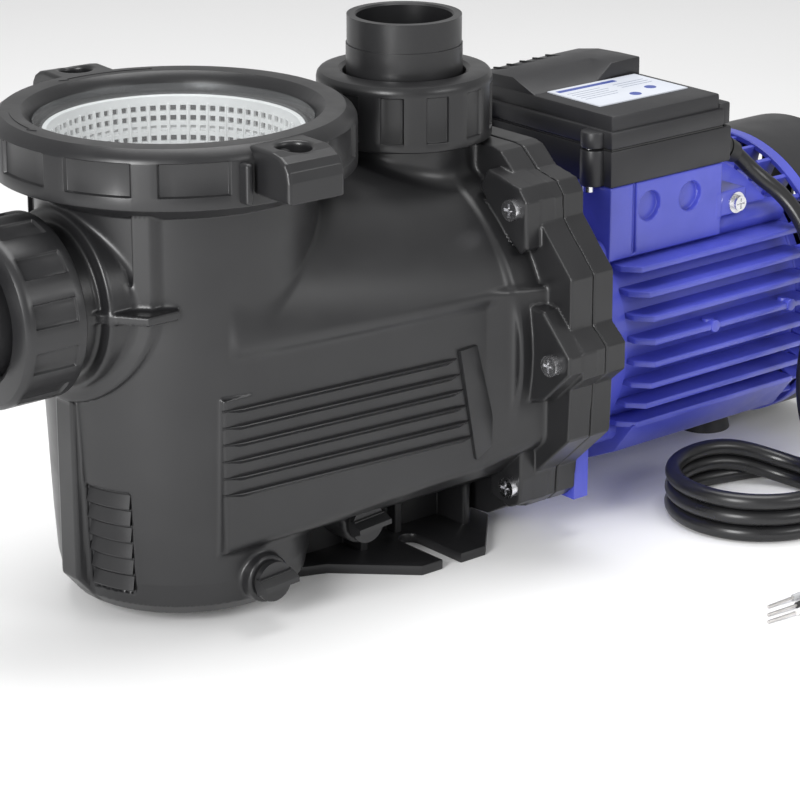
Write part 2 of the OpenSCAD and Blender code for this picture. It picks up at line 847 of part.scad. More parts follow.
module stator_core() {
    color([0.55, 0.56, 0.58])
        difference() {
            rod_x(stator_x0, stator_x1, frame_bore_r, 0, shaft_z);
            rod_x(stator_x0 - 1, stator_x1 + 1, rotor_r + air_gap, 0, shaft_z);
            for (i = [0 : stator_slots - 1])
                translate([0, 0, shaft_z]) rotate([i * 360 / stator_slots, 0, 0])
                    translate([stator_x0 - 1, -2.2, rotor_r + 3]) cube([stator_x1 - stator_x0 + 2, 4.4, 15]);
        }
}

module stator_windings() {
    color([0.72, 0.4, 0.18]) {
        for (i = [0 : stator_slots - 1])
            translate([0, 0, shaft_z]) rotate([i * 360 / stator_slots, 0, 0])
                translate([stator_x0 - 2, -2, rotor_r + 3.2]) cube([stator_x1 - stator_x0 + 4, 4, 14.6]);
        ring_x(stator_x0 - 13, stator_x0 - 1, 55, 38);
        ring_x(stator_x1 + 1, stator_x1 + 13, 55, 38);
    }
}

module shaft() {
    color([0.78, 0.78, 0.8]) {
        rod_x(-24, 22, 7, 0, shaft_z);
        rod_x(21.9, 64, 9, 0, shaft_z);
        rod_x(63.9, rear_bearing_x - 2, shaft_r, 0, shaft_z);
        rod_x(rear_bearing_x - 2.1, 277, 8.5, 0, shaft_z);
    }
}

module rotor_core() {
    color([0.5, 0.5, 0.53])
        difference() {
            union() {
                rod_x(stator_x0, stator_x1, rotor_r, 0, shaft_z);
                rod_x(stator_x0 - 6, stator_x1 + 6, rotor_r - 4, 0, shaft_z);
            }
            rod_x(stator_x0 - 8, stator_x1 + 8, shaft_r, 0, shaft_z);
        }
}

module impeller() {
    color([0.35, 0.35, 0.38])
        difference() {
            union() {
                rod_x(-10, -6, impeller_r, 0, shaft_z);
                rod_x(-26, -23, impeller_r, 0, shaft_z);
                rod_x(-31, -22.9, 18.5, 0, shaft_z);
                rod_x(-26, 0, 12, 0, shaft_z);
                for (i = [0 : 5])
                    translate([0, 0, shaft_z]) rotate([i * 60, 0, 0])
                        translate([-24, 14, -2]) rotate([-28, 0, 0]) cube([15, 27, 3]);
            }
            difference() {
                rod_x(-32, -22, 16, 0, shaft_z);
                rod_x(-27, -21, 12, 0, shaft_z);
            }
            rod_x(-24, 1, 7, 0, shaft_z);
        }
}

module seal_rotor() {
    color([0.7, 0.7, 0.72]) {
        ring_x(0.1, 12, 15, 7);
        ring_x(11.9, 15.9, 14, 7);
    }
}

module slinger() {
    color([0.08, 0.08, 0.08]) ring_x(52, 55, 20, 9);
}

module bearing_outer(x0, width, ro, pitch_r, ball) {
    difference() {
        ring_x(x0, x0 + width, ro, pitch_r + ball * 0.5);
        translate([x0 + width / 2, 0, shaft_z]) rotate([0, 90, 0]) o_ring(pitch_r, ball + 0.15);
    }
}

// inner ring with its row of balls and their cage
module bearing_inner(x0, width, ri, pitch_r, ball) {
    ring_x(x0, x0 + width, pitch_r - ball * 0.5, ri);
    ring_x(x0 + width / 2 - 1, x0 + width / 2 + 1, pitch_r, pitch_r - ball * 0.6);
    for (i = [0 : 7])
        translate([x0 + width / 2, 0, shaft_z]) rotate([i * 45, 0, 0])
            translate([0, pitch_r, 0]) sphere(r = ball);
}

module front_bearing_outer() {
    color([0.8, 0.8, 0.82]) bearing_outer(front_bearing_x, 14, 23.5, 16.75, 4);
}

module front_bearing_inner() {
    color([0.75, 0.75, 0.78]) bearing_inner(front_bearing_x, 14, shaft_r, 16.75, 4);
}

module rear_bearing_outer() {
    color([0.8, 0.8, 0.82]) bearing_outer(rear_bearing_x, 12, 20, 14.25, 3.4);
}

module rear_bearing_inner() {
    color([0.75, 0.75, 0.78]) bearing_inner(rear_bearing_x, 12, 8.5, 14.25, 3.4);
}

module cooling_fan() {
    color([0.15, 0.15, 0.16])
        difference() {
            union() {
                rod_x(260, 276, 14, 0, shaft_z);
                rod_x(262, 264, 58, 0, shaft_z);
                for (i = [0 : 6])
                    translate([0, 0, shaft_z]) rotate([i * 360 / 7, 0, 0])
                        translate([262, 12, -1]) cube([22, 60, 2]);
            }
            rod_x(255, 280, 8.5, 0, shaft_z);
        }
}

// ---------- terminal box ----------

module terminal_box() {
    color([0.19, 0.19, 0.21])
        difference() {
            union() {
                translate([box_x0, -box_y, box_z0]) cube([box_x1 - box_x0, 2 * box_y, box_z1 - box_z0]);
                for (side = [-1, 1])
                    translate([box_x0 - 1, side * 47, box_z0]) cylinder(h = box_z1 - box_z0, r = 8);
            }
            translate([box_x0 + 3, -box_y + 3, box_z0 + 3])
                cube([box_x1 - box_x0 - 6, 2 * box_y - 6, box_z1 - box_z0]);
            translate([122, 0, box_z0 - 1]) cylinder(h = 6, r = 12);
            for (side = [-1, 1])
                translate([post_x, side * 47, box_z0 - 1]) cylinder(h = 40, r = 2.1);
            gland_place() translate([0, 0, -8]) cylinder(h = 20, r = 5);
        }
}

module terminal_gasket() {
    color([0.07, 0.07, 0.07])
        difference() {
            translate([box_x0 + 0.5, -box_y + 0.5, box_z1 + 0.02])
                cube([box_x1 - box_x0 - 1, 2 * box_y - 1, cover_z0 - box_z1 - 0.04]);
            translate([box_x0 + 3, -box_y + 3, box_z1 - 1])
                cube([box_x1 - box_x0 - 6, 2 * box_y - 6, 5]);
        }
}

module terminal_cover() {
    top_front = 221;
    color([0.19, 0.19, 0.21])
        difference() {
            union() {
                translate([box_x0, -box_y, cover_z0]) cube([box_x1 - box_x0, 2 * box_y, 9]);
                translate([box_x0 + 1.5, -box_y + 1.5, cover_z0])
                    cube([box_x1 - box_x0 - 3, 2 * box_y - 3, top_front - cover_z0]);
                // raised rear part over the capacitor
                section_x(box_x0 + 2, box_x1 - 2, [[3, 216], [8, 229], [30, 231], [52, 228], [57.6, 216]]);
                for (side = [-1, 1])
                    translate([box_x0 - 1, side * 47, cover_z0]) cylinder(h = 8.6, r = 8);
                translate([box_x1 - 1, -box_y + 4, cover_z0]) cube([6, 2 * box_y - 8, 13]);
            }
            translate([box_x0 + 4, -box_y + 4, cover_z0 - 1]) cube([box_x1 - box_x0 - 8, 2 * box_y - 8, 16]);
            translate([box_x0 + 4, 11, cover_z0 - 1]) cube([box_x1 - box_x0 - 8, 40, 24]);
            // diagonal grooves in the raised part
            for (i = [0 : 5])
                translate([box_x0 + 10 + i * 5, 14, 228.8]) rotate([0, 0, -28]) cube([1.2, 26, 6]);
            for (side = [-1, 1])
                translate([post_x, side * 47, cover_z0 - 1]) cylinder(h = 8, r = 2 + run);
        }
}

module cover_screws() {
    color([0.75, 0.75, 0.78])
        for (side = [-1, 1])
            translate([post_x, side * 47, 0]) {
                translate([0, 0, box_z0 - 3]) cylinder(h = 2.98, r = 3.4);
                translate([0, 0, box_z0 - 1]) cylinder(h = 28, r = 2);
            }
}

module capacitor() {
    color([0.85, 0.85, 0.84]) rod_x(101, 170, 17, 31, 206);
}

module terminal_block() {
    color([0.15, 0.15, 0.15])
        difference() {
            translate([132, -40, box_z0 + 3.02]) cube([38, 22, 13]);
            for (i = [0 : 3])
                translate([137 + i * 9.4, -29, box_z0 + 8]) cylinder(h = 10, r = 2.6);
        }
}

module rating_plate() {
    color([0.8, 0.82, 0.86])
        translate([105, -38.5, 221.02])
            cube([66, 42, 0.6]);
}

module gland_place() {
    translate(gland_at) rotate([0, 90 + gland_tilt, 0]) children();
}

module cable_gland() {
    color([0.1, 0.1, 0.1])
        gland_place() {
            difference() {
                union() {
                    translate([0, 0, 4.2]) cylinder(h = gland_len - 4.2, r1 = 8.5, r2 = 6);
                    translate([0, 0, -6]) cylinder(h = 12, r = 4.95);
                }
                // relief grooves round the sleeve
                for (z = [9, 14])
                    translate([0, 0, z]) difference() {
                        cylinder(h = 1.6, r = 12);
                        translate([0, 0, -1]) cylinder(h = 4, r = 5.6);
                    }
            }
        }
}

// ---------- cord ----------

function unit(v) = v / norm(v);
function tangent(p, i) = unit(p[min(i + 1, len(p) - 1)] - p[max(i - 1, 0)]);
function side_of(t) = unit(cross(t, abs(t[2]) > 0.9 ? [0, 1, 0] : [0, 0, 1]));

// closed tube of n-sided rings along the points
module sweep(p, r, n = 10) {
    rings = len(p);
    points = [
        for (i = [0 : rings - 1])
            let (t = tangent(p, i), u = side_of(t), v = cross(t, u))
                for (k = [0 : n - 1]) p[i] + r * (cos(360 * k / n) * u + sin(360 * k / n) * v)
    ];
    walls = [
        for (i = [0 : rings - 2])
            for (k = [0 : n - 1])
                [i * n + k, i * n + (k + 1) % n, (i + 1) * n + (k + 1) % n, (i + 1) * n + k]
    ];
    polyhedron(
        points = points,
        faces = concat([[for (k = [n - 1 : -1 : 0]) k]], walls, [[for (k = [0 : n - 1]) (rings - 1) * n + k]])
    );
}

module cord_tube() {
    color([0.08, 0.08, 0.08]) sweep(cord_route, cord_d / 2 - 0.2);
}

module cord_coil() {
    half = cord_d / 2;
    color([0.08, 0.08, 0.08])
        translate([coil_at[0], coil_at[1], 0])
            cylinder(h = coil_turns * cord_d, r = coil_r + half - 0.2);
}

module cord_tail() {
    color([0.08, 0.08, 0.08]) sweep(tail_route, cord_d / 2 - 0.2);
}

module lead_wires() {
    color([0.5, 0.5, 0.5])
        for (i = [0 : 2])
            sweep([lead_starts[i], lead_starts[i] + [-8, (i - 1) * -1.5, 0], lead_ends[i]], 1.6, 8);
}

module conductor_tips() {
    color([0.75, 0.75, 0.72])
        for (i = [0 : 2])
            sweep([lead_ends[i] - [0, 0, 0.3], tip_ends[i]], 0.8, 6);
}

pump_casing();
seal_plate();
casing_screws();
casing_gasket();
diffuser();
seal_seat();
lid_lens();
lid_o_ring();
lock_ring();
strainer_basket();
suction_nut();
suction_tailpiece();
suction_o_ring();
discharge_nut();
discharge_tailpiece();
discharge_o_ring();
pot_drain_plug();
pot_plug_o_ring();
volute_drain_plug();
volute_plug_o_ring();
front_shield();
motor_frame();
rear_shield();
stator_core();
stator_windings();
shaft();
rotor_core();
impeller();
seal_rotor();
slinger();
front_bearing_outer();
front_bearing_inner();
rear_bearing_outer();
rear_bearing_inner();
cooling_fan();
fan_cover();
fan_cover_screws();
tie_bolts();
motor_bolts();
terminal_box();
terminal_cover();
terminal_gasket();
cover_screws();
capacitor();
terminal_block();
rating_plate();
cable_gland();
earth_screw();
motor_foot();
cord_tube();
cord_coil();
cord_tail();
lead_wires();
conductor_tips();
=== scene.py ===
import math
import bmesh
import bpy
import numpy as np
from mathutils import Matrix, Vector


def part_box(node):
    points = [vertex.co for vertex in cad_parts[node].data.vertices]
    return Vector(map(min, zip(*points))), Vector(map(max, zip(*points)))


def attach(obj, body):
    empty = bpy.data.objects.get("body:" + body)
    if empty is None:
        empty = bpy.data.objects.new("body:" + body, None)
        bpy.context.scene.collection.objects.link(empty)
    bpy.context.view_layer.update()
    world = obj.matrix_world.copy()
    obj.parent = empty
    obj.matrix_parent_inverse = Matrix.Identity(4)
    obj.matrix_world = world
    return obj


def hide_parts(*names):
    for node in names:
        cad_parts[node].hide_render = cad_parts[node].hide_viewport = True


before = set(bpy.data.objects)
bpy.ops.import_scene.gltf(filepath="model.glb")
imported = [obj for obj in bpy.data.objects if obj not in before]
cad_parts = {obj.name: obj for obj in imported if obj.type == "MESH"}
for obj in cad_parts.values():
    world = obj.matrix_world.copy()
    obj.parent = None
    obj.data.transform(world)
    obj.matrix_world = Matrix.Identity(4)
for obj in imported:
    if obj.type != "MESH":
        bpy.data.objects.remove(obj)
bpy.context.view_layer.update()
MM = 0.001


# ---------- places read from the frame, in millimetres ----------

def span(node):
    """Lowest and highest corner of a CAD node, in millimetres."""
    lo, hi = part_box(node)
    return [v / MM for v in lo], [v / MM for v in hi]


def middle(node):
    lo, hi = span(node)
    return [(a + b) / 2 for a, b in zip(lo, hi)]


POT_X = middle("lid_lens")[0]
SHAFT_Z = middle("shaft")[2]
FLANGE_Z = middle("casing_gasket")[2]
SUCTION_Z = middle("suction_nut")[2]
SUCTION_X = span("suction_nut")[1][0]
DISCHARGE_Z = span("discharge_nut")[0][2]
BOX_LO, BOX_HI = span("terminal_box")
COVER_LO = span("terminal_cover")[0]
PLATE_LO, PLATE_HI = span("seal_plate")
POT_PLUG = middle("pot_plug_o_ring")
VOLUTE_PLUG = middle("volute_plug_o_ring")
FOOT = middle("motor_foot")


# ---------- camera ----------

CAMERA_AT = (-1.0143, -1.2054, 0.6211)
CAMERA_TURN = (70.65, 0, -40)
CAMERA_LENS = 138.9
SENSOR = 36


def make_camera():
    data = bpy.data.cameras.new("camera")
    data.sensor_width = SENSOR
    data.lens = CAMERA_LENS
    data.clip_end = 50
    camera = bpy.data.objects.new("camera", data)
    camera.location = CAMERA_AT
    camera.rotation_euler = [math.radians(a) for a in CAMERA_TURN]
    bpy.context.scene.collection.objects.link(camera)
    bpy.context.scene.camera = camera
    return camera


# ---------- materials ----------

class Nodes:
    """Short names for building a node tree."""

    def __init__(self, name):
        self.material = bpy.data.materials.new(name)
        self.material.use_nodes = True
        self.tree = self.material.node_tree
        self.tree.nodes.clear()
        self.coords = self.make("ShaderNodeTexCoord").outputs["Object"]

    def make(self, kind, **inputs):
        node = self.tree.nodes.new(kind)
        for name, value in inputs.items():
            self.put(node.inputs[name.replace("_", " ")], value)
        return node

    def put(self, socket, value):
        if isinstance(value, bpy.types.NodeSocket):
            self.tree.links.new(value, socket)
        else:
            socket.default_value = value

    def noise(self, scale, detail=2.0, rough=0.5, stretch=None):
        vector = self.coords
        if stretch:
            mapping = self.make("ShaderNodeMapping", Vector=vector, Scale=stretch)
            vector = mapping.outputs["Vector"]
        node = self.make("ShaderNodeTexNoise", Vector=vector, Scale=scale, Detail=detail, Roughness=rough)
        return node.outputs["Fac"]

    def spread(self, value, low, high, from_low=0.3, from_high=0.7):
        node = self.make("ShaderNodeMapRange", Value=value)
        ends = {"From Min": from_low, "From Max": from_high, "To Min": low, "To Max": high}
        for name, number in ends.items():
            node.inputs[name].default_value = number
        return node.outputs["Result"]

    def mix(self, factor, a, b):
        node = self.make("ShaderNodeMix")
        node.data_type = "RGBA"
        self.put(node.inputs["Factor"], factor)
        self.put(node.inputs["A"], a)
        self.put(node.inputs["B"], b)
        return node.outputs["Result"]

    def bump(self, height, strength, distance, normal=None):
        node = self.make("ShaderNodeBump", Height=height, Strength=strength, Distance=distance)
        if normal is not None:
            self.put(node.inputs["Normal"], normal)
        return node.outputs["Normal"]

    def finish(self, shader):
        out = self.make("ShaderNodeOutputMaterial")
        self.tree.links.new(shader, out.inputs["Surface"])
        return self.material


def rgba(r, g, b):
    return (r, g, b, 1.0)


def plastic(name, dark, light, rough, grain=2600, grain_depth=0.00004, coat=0.0):
    """Moulded plastic: fine spark-eroded grain, faint cloudy colour and roughness."""
    n = Nodes(name)
    cloud = n.noise(22, 3)
    fine = n.noise(grain, 2)
    colour = n.mix(n.spread(cloud, 0, 1), rgba(*dark), rgba(*light))
    shader = n.make("ShaderNodeBsdfPrincipled")
    n.put(shader.inputs["Base Color"], colour)
    n.put(shader.inputs["Roughness"], n.spread(n.noise(60, 3), rough - 0.04, rough + 0.05))
    n.put(shader.inputs["Coat Weight"], coat)
    n.put(shader.inputs["Normal"], n.bump(fine, 0.35, grain_depth))
    return n.finish(shader.outputs["BSDF"])


def painted_casting(name, dark, light):
    """Semi-gloss enamel over cast aluminium: soft orange peel and settled colour."""
    n = Nodes(name)
    cloud = n.noise(35, 4)
    peel = n.noise(420, 2)
    cast = n.noise(1500, 3, 0.6)
    colour = n.mix(n.spread(cloud, 0, 1), rgba(*dark), rgba(*light))
    shader = n.make("ShaderNodeBsdfPrincipled")
    n.put(shader.inputs["Base Color"], colour)
    n.put(shader.inputs["Roughness"], n.spread(n.noise(90, 3), 0.3, 0.42))
    n.put(shader.inputs["Coat Weight"], 0.35)
    n.put(shader.inputs["Coat Roughness"], 0.25)
    first = n.bump(cast, 0.25, 0.00006)
    n.put(shader.inputs["Normal"], n.bump(peel, 0.2, 0.00018, first))
    return n.finish(shader.outputs["BSDF"])


def metal(name, colour, rough, stretch=(1, 1, 1), scale=900):
    """Plated or machined metal with fine directional marks."""
    n = Nodes(name)
    marks = n.noise(scale, 3, 0.6, stretch)
    tone = n.mix(n.spread(n.noise(120, 3), 0, 1), rgba(*[c * 0.86 for c in colour]), rgba(*colour))
    shader = n.make("ShaderNodeBsdfPrincipled", Metallic=1.0)
    n.put(shader.inputs["Base Color"], tone)
    n.put(shader.inputs["Roughness"], n.spread(marks, rough - 0.06, rough + 0.08))
    n.put(shader.inputs["Normal"], n.bump(marks, 0.15, 0.00003))
    return n.finish(shader.outputs["BSDF"])


def clear_plastic(name):
    """Clear lens: see-through face on, mirror-like at a glance."""
    n = Nodes(name)
    through = n.make("ShaderNodeBsdfTransparent")
    through.inputs["Color"].default_value = rgba(0.97, 0.98, 0.985)
    gloss = n.make("ShaderNodeBsdfGlossy")
    gloss.inputs["Roughness"].default_value = 0.04
    n.put(gloss.inputs["Roughness"], n.spread(n.noise(30, 2), 0.03, 0.06))
    glance = n.make("ShaderNodeLayerWeight", Blend=0.5)
    steep = n.make("ShaderNodeMath")
    steep.operation = "POWER"
    n.put(steep.inputs[0], glance.outputs["Facing"])
    steep.inputs[1].default_value = 5
    haze = n.make("ShaderNodeBsdfDiffuse")
    haze.inputs["Color"].default_value = rgba(0.9, 0.91, 0.92)
    milky = n.make("ShaderNodeMixShader")
    n.put(milky.inputs[0], n.spread(n.noise(14, 2), 0.02, 0.045))
    n.put(milky.inputs[1], through.outputs["BSDF"])
    n.put(milky.inputs[2], haze.outputs["BSDF"])
    mix = n.make("ShaderNodeMixShader")
    n.put(mix.inputs[0], n.spread(steep.outputs[0], 0.02, 0.4, 0, 1))
    n.put(mix.inputs[1], milky.outputs["Shader"])
    n.put(mix.inputs[2], gloss.outputs["BSDF"])
    return n.finish(mix.outputs["Shader"])


def windings(name):
    """Varnished copper wire, wound in close turns."""
    n = Nodes(name)
    wave = n.make("ShaderNodeTexWave", Vector=n.coords, Scale=700.0, Distortion=1.5)
    colour = n.mix(wave.outputs["Fac"], rgba(0.2, 0.07, 0.02), rgba(0.62, 0.27, 0.1))
    shader = n.make("ShaderNodeBsdfPrincipled", Metallic=0.8, Roughness=0.35)
    n.put(shader.inputs["Base Color"], colour)
    n.put(shader.inputs["Normal"], n.bump(wave.outputs["Fac"], 0.5, 0.0003))
    return n.finish(shader.outputs["BSDF"])


def make_materials():
    return {
        "moulded_black": plastic("moulded_black", (0.012, 0.012, 0.013), (0.016, 0.016, 0.017), 0.33),
        "inner_black": plastic("inner_black", (0.03, 0.03, 0.032), (0.045, 0.045, 0.048), 0.55),
        "box_black": plastic("box_black", (0.015, 0.015, 0.017), (0.019, 0.019, 0.021), 0.42, 1800, 0.00006),
        "cover_black": plastic("cover_black", (0.014, 0.014, 0.016), (0.018, 0.018, 0.02), 0.38),
        "basket_white": plastic("basket_white", (0.86, 0.86, 0.85), (0.92, 0.92, 0.91), 0.35, 900, 0.00003),
        "ceramic_white": plastic("ceramic_white", (0.75, 0.75, 0.73), (0.82, 0.82, 0.8), 0.3),
        "lead_grey": plastic("lead_grey", (0.42, 0.43, 0.44), (0.5, 0.5, 0.51), 0.4),
        "lead_white": plastic("lead_white", (0.8, 0.8, 0.8), (0.86, 0.86, 0.86), 0.4),
        "lead_black": plastic("lead_black", (0.02, 0.02, 0.02), (0.03, 0.03, 0.03), 0.4),
        "black_rubber": plastic("black_rubber", (0.014, 0.014, 0.014), (0.02, 0.02, 0.02), 0.5,
                                1500, 0.00005),
        "cord_rubber": plastic("cord_rubber", (0.010, 0.010, 0.011), (0.015, 0.015, 0.016), 0.3,
                               700, 0.00003),
        "blue_paint": painted_casting("blue_paint", (0.06, 0.074, 0.45), (0.078, 0.092, 0.53)),
        "zinc_screw": metal("zinc_screw", (0.8, 0.8, 0.82), 0.22),
        "shaft_steel": metal("shaft_steel", (0.68, 0.68, 0.7), 0.25, (1, 40, 40)),
        "bearing_steel": metal("bearing_steel", (0.72, 0.72, 0.74), 0.15),
        "lamination_steel": metal("lamination_steel", (0.35, 0.35, 0.37), 0.45, (60, 1, 1)),
        "copper_winding": windings("copper_winding"),
        "tinned_copper": metal("tinned_copper", (0.72, 0.7, 0.68), 0.3, (1, 20, 20), 2500),
        "plate_foil": plastic("plate_foil", (0.62, 0.65, 0.72), (0.7, 0.73, 0.79), 0.35, 1200, 0.00002),
        "print_blue": plastic("print_blue", (0.05, 0.08, 0.3), (0.07, 0.1, 0.36), 0.4),
        "print_grey": plastic("print_grey", (0.3, 0.33, 0.4), (0.35, 0.38, 0.45), 0.4),
        "clear_lens": clear_plastic("clear_lens"),
    }


# ---------- pieces ----------

def publish(obj, material, body, nodes=()):
    """Gives a piece its material and body, and hides the CAD nodes it replaces."""
    if material:
        obj.data.materials.clear()
        obj.data.materials.append(MATERIALS[material])
    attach(obj, body)
    if nodes:
        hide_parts(*nodes)
    return obj


def link_mesh(name, mesh):
    obj = bpy.data.objects.new(name, mesh)
    bpy.context.scene.collection.objects.link(obj)
    return obj


def smooth(mesh, angle=32):
    mesh.shade_smooth()
    mesh.set_sharp_from_angle(angle=math.radians(angle))


# ---------- fields: signed distances in millimetres ----------

def hypot(a, b):
    return np.sqrt(a * a + b * b)


def between(v, lo, hi):
    return np.maximum(lo - v, v - hi)


def join(a, b, k=0.0):
    """Union with a fillet about k wide."""
    if k <= 0:
        return np.minimum(a, b)
    h = np.maximum(k - np.abs(a - b), 0) / k
    return np.minimum(a, b) - h * h * k / 4


def meet(a, b, k=0.0):
    """Intersection with a rounded edge."""
    return -join(-a, -b, k)


def cut(a, b, k=0.0):
    return meet(a, -b, k)


def extruded(flat, along, edge):
    """A flat distance pushed along an axis, with its end edges rounded."""
    u = flat + edge
    v = along + edge
    return np.minimum(np.maximum(u, v), 0) + hypot(np.maximum(u, 0), np.maximum(v, 0)) - edge


def block(x, y, z, lo, hi, edge=1.0):
    a = between(x, lo[0], hi[0]) + edge
    b = between(y, lo[1], hi[1]) + edge
    c = between(z, lo[2], hi[2]) + edge
    inside = np.minimum(np.maximum(np.maximum(a, b), c), 0)
    a, b, c = np.maximum(a, 0), np.maximum(b, 0), np.maximum(c, 0)
    return inside + np.sqrt(a * a + b * b + c * c) - edge


def rod(u, v, along, radius, lo, hi, edge=1.0):
    """Round bar: u and v across, along its length."""
    return extruded(hypot(u, v) - radius, between(along, lo, hi), edge)


def outline(u, v, points):
    """Distance to a closed polygon in the plane."""
    nearest = np.full(u.shape, 1e9, np.float32)
    inside = np.zeros(u.shape, bool)
    for (ax, ay), (bx, by) in zip(points, points[1:] + points[:1]):
        ex, ey = bx - ax, by - ay
        wx, wy = u - ax, v - ay
        t = np.clip((wx * ex + wy * ey) / (ex * ex + ey * ey), 0, 1)
        nearest = np.minimum(nearest, (wx - ex * t) ** 2 + (wy - ey * t) ** 2)
        if ey:
            crosses = (ay > v) != (by > v)
            inside ^= crosses & (u < ax + (v - ay) * ex / ey)
    return np.where(inside, -1, 1) * np.sqrt(nearest)


def gradient(field, points, h=0.05):
    """Field gradient by four samples at the corners of a small tetrahedron."""
    total = np.zeros_like(points)
    for corner in ((1, -1, -1), (-1, -1, 1), (-1, 1, -1), (1, 1, 1)):
        c = np.array(corner, np.float32)
        total += field(points + c * h)[:, None] * c
    return total / (4 * h)


CELL_CORNERS = [(i, j, k) for i in (0, 1) for j in (0, 1) for k in (0, 1)]


def sample_grid(field, low, shape, step, group=5):
    """Field on a grid: exact near the surface, one value per block of points elsewhere."""
    blocks = [math.ceil(s / group) for s in shape]
    grid = np.stack(np.meshgrid(*[np.arange(b) for b in blocks], indexing="ij"), -1).reshape(-1, 3)
    centres = (low + (grid * group + (group - 1) / 2) * step).astype(np.float32)
    coarse = field(centres)
    full = np.repeat(np.repeat(np.repeat(coarse.reshape(blocks), group, 0), group, 1), group, 2)
    near = grid[np.abs(coarse) < group * step * 0.9 + 1.0]
    local = np.stack(np.meshgrid(*[np.arange(group)] * 3, indexing="ij"), -1).reshape(-1, 3)
    for part in np.array_split(near, max(1, len(near) // 4000)):
        index = (part[:, None, :] * group + local[None]).reshape(-1, 3)
        full[index[:, 0], index[:, 1], index[:, 2]] = field((low + index * step).astype(np.float32))
    return full


def net(values):
    """Surface net of a sampled field: cell points, and quads that join them."""
    inside = values < 0
    n = [s - 1 for s in values.shape]
    count = np.zeros(n, np.int8)
    for i, j, k in CELL_CORNERS:
        count += inside[i:n[0] + i, j:n[1] + j, k:n[2] + k]
    active = np.argwhere((count > 0) & (count < 8))
    index = np.full(n, -1, np.int32)
    index[tuple(active.T)] = np.arange(len(active))
    total = np.zeros((len(active), 3))
    hits = np.zeros(len(active))
    for axis in range(3):
        step = np.eye(3, dtype=int)[axis]
        for corner in CELL_CORNERS:
            if corner[axis]:
                continue
            a = active + corner
            b = a + step
            va, vb = values[tuple(a.T)], values[tuple(b.T)]
            crossing = (va < 0) != (vb < 0)
            t = np.where(crossing, va / np.where(crossing, va - vb, 1), 0)
            total += np.where(crossing[:, None], a + t[:, None] * step, 0)
            hits += crossing
    quads = []
    for axis in range(3):
        u, v = [a for a in range(3) if a != axis]
        first = [slice(1, -1)] * 3
        second = list(first)
        first[axis] = slice(0, values.shape[axis] - 1)
        second[axis] = slice(1, values.shape[axis])
        change = inside[tuple(first)].astype(np.int8) - inside[tuple(second)]
        at = np.argwhere(change != 0)
        sign = change[tuple(at.T)]
        at[:, u] += 1
        at[:, v] += 1
        du, dv = np.eye(3, dtype=int)[u], np.eye(3, dtype=int)[v]
        ring = [index[tuple((at - shift).T)] for shift in (du + dv, dv, 0 * du, du)]
        quad = np.stack(ring, 1)
        flip = (sign < 0) != (axis == 1)
        quad[flip] = quad[flip][:, ::-1]
        quads.append(quad)
    return total / hits[:, None], np.concatenate(quads)


def field_mesh(name, field, low, high, step):
    """A smooth mesh of the surface where a field is zero, with the field's own normals."""
    low = np.array(low, float) - 2.5 * step
    shape = [int(math.ceil((h - l) / step)) + 4 for l, h in zip(low, high)]
    points, quads = net(sample_grid(field, low, shape, step))
    points = (low + points * step).astype(np.float32)
    for _ in range(3):
        slope = gradient(field, points)
        size = np.maximum((slope * slope).sum(1), 0.2)
        move = (field(points) / size)[:, None] * slope
        points -= np.clip(move, -0.5 * step, 0.5 * step)
    mesh = bpy.data.meshes.new(name)
    mesh.vertices.add(len(points))
    mesh.vertices.foreach_set("co", (points * MM).ravel())
    mesh.loops.add(len(quads) * 4)
    mesh.loops.foreach_set("vertex_index", quads.ravel().astype(np.int32))
    mesh.polygons.add(len(quads))
    mesh.polygons.foreach_set("loop_start", np.arange(0, len(quads) * 4, 4, dtype=np.int32))
    mesh.update(calc_edges=True)
    mesh.validate()
    mesh.shade_smooth()
    normal = gradient(field, points, 0.25)
    normal /= np.maximum(np.linalg.norm(normal, axis=1), 1e-6)[:, None]
    mesh.normals_split_custom_set_from_vertices(normal.astype(float).tolist())
    return mesh


# ---------- pump casing ----------

POT_SIDE = [(0, 5), (42, 5), (56, 8), (62, 14), (64.5, 26), (66, 50), (68, 100), (70, 150),
            (70, 217), (81.5, 225), (81.5, 236), (0, 236)]
POT_HOLLOW = [(0, 10), (42, 10), (56, 16), (59, 24), (61, 50), (63, 100), (64.5, 150),
              (64.5, 224), (69.5, 224), (69.5, 260), (0, 260)]
BODY_SECTION = [(-10, 150), (96, 150), (96, 70), (68, 44), (36, 27), (-10, 27)]
FLANGE_HALF = [(-5, 215), (47, 215), (53.2, 213.8), (64.2, 204.2), (79.5, 200.9), (85, 194.6), (85.3, 182.3),
               (108.6, 157.4), (108.8, 129.8), (118.9, 121), (118.9, 106), (109.7, 98), (108.5, 69),
               (83.8, 45.2), (82.6, 30), (76, 24), (62, 20), (46, 11), (-5, 6.5)]
PANEL_FLARE = 0.081
LOUVRE_TOP = 119.5
LOUVRE_PITCH = 8.8
LUGS = (
    [(48, 196), (54, 206), (64.2, 204.2), (79.5, 200.9), (85, 194.6), (85.5, 170), (80, 166), (62, 180)],
    [(88, 141), (98.5, 139.9), (118.8, 119.6), (118.8, 110), (99.6, 91.3), (88, 88)],
    [(60, 62), (83.3, 59.1), (83.9, 29.5), (74, 25), (59, 28)],
)
LUG_FRONT = 10
POT_SLATS = (21.5, 74.5)
SLOT_X = -26.2
SLOT_R = 6.25
NECK_BORE = 23.5
CHAMBER = [(-75, 62), (36.5, 86)]


def pot_wall(z):
    """Outside radius of the pot near its foot."""
    return np.interp(z, [26, 50, 100], [64.7, 66.2, 68.2])


def half_width(x):
    """Half-width of the flat side panel at x."""
    return 68 + PANEL_FLARE * (x + 171) + 0.25 * np.maximum(x + 12, 0)


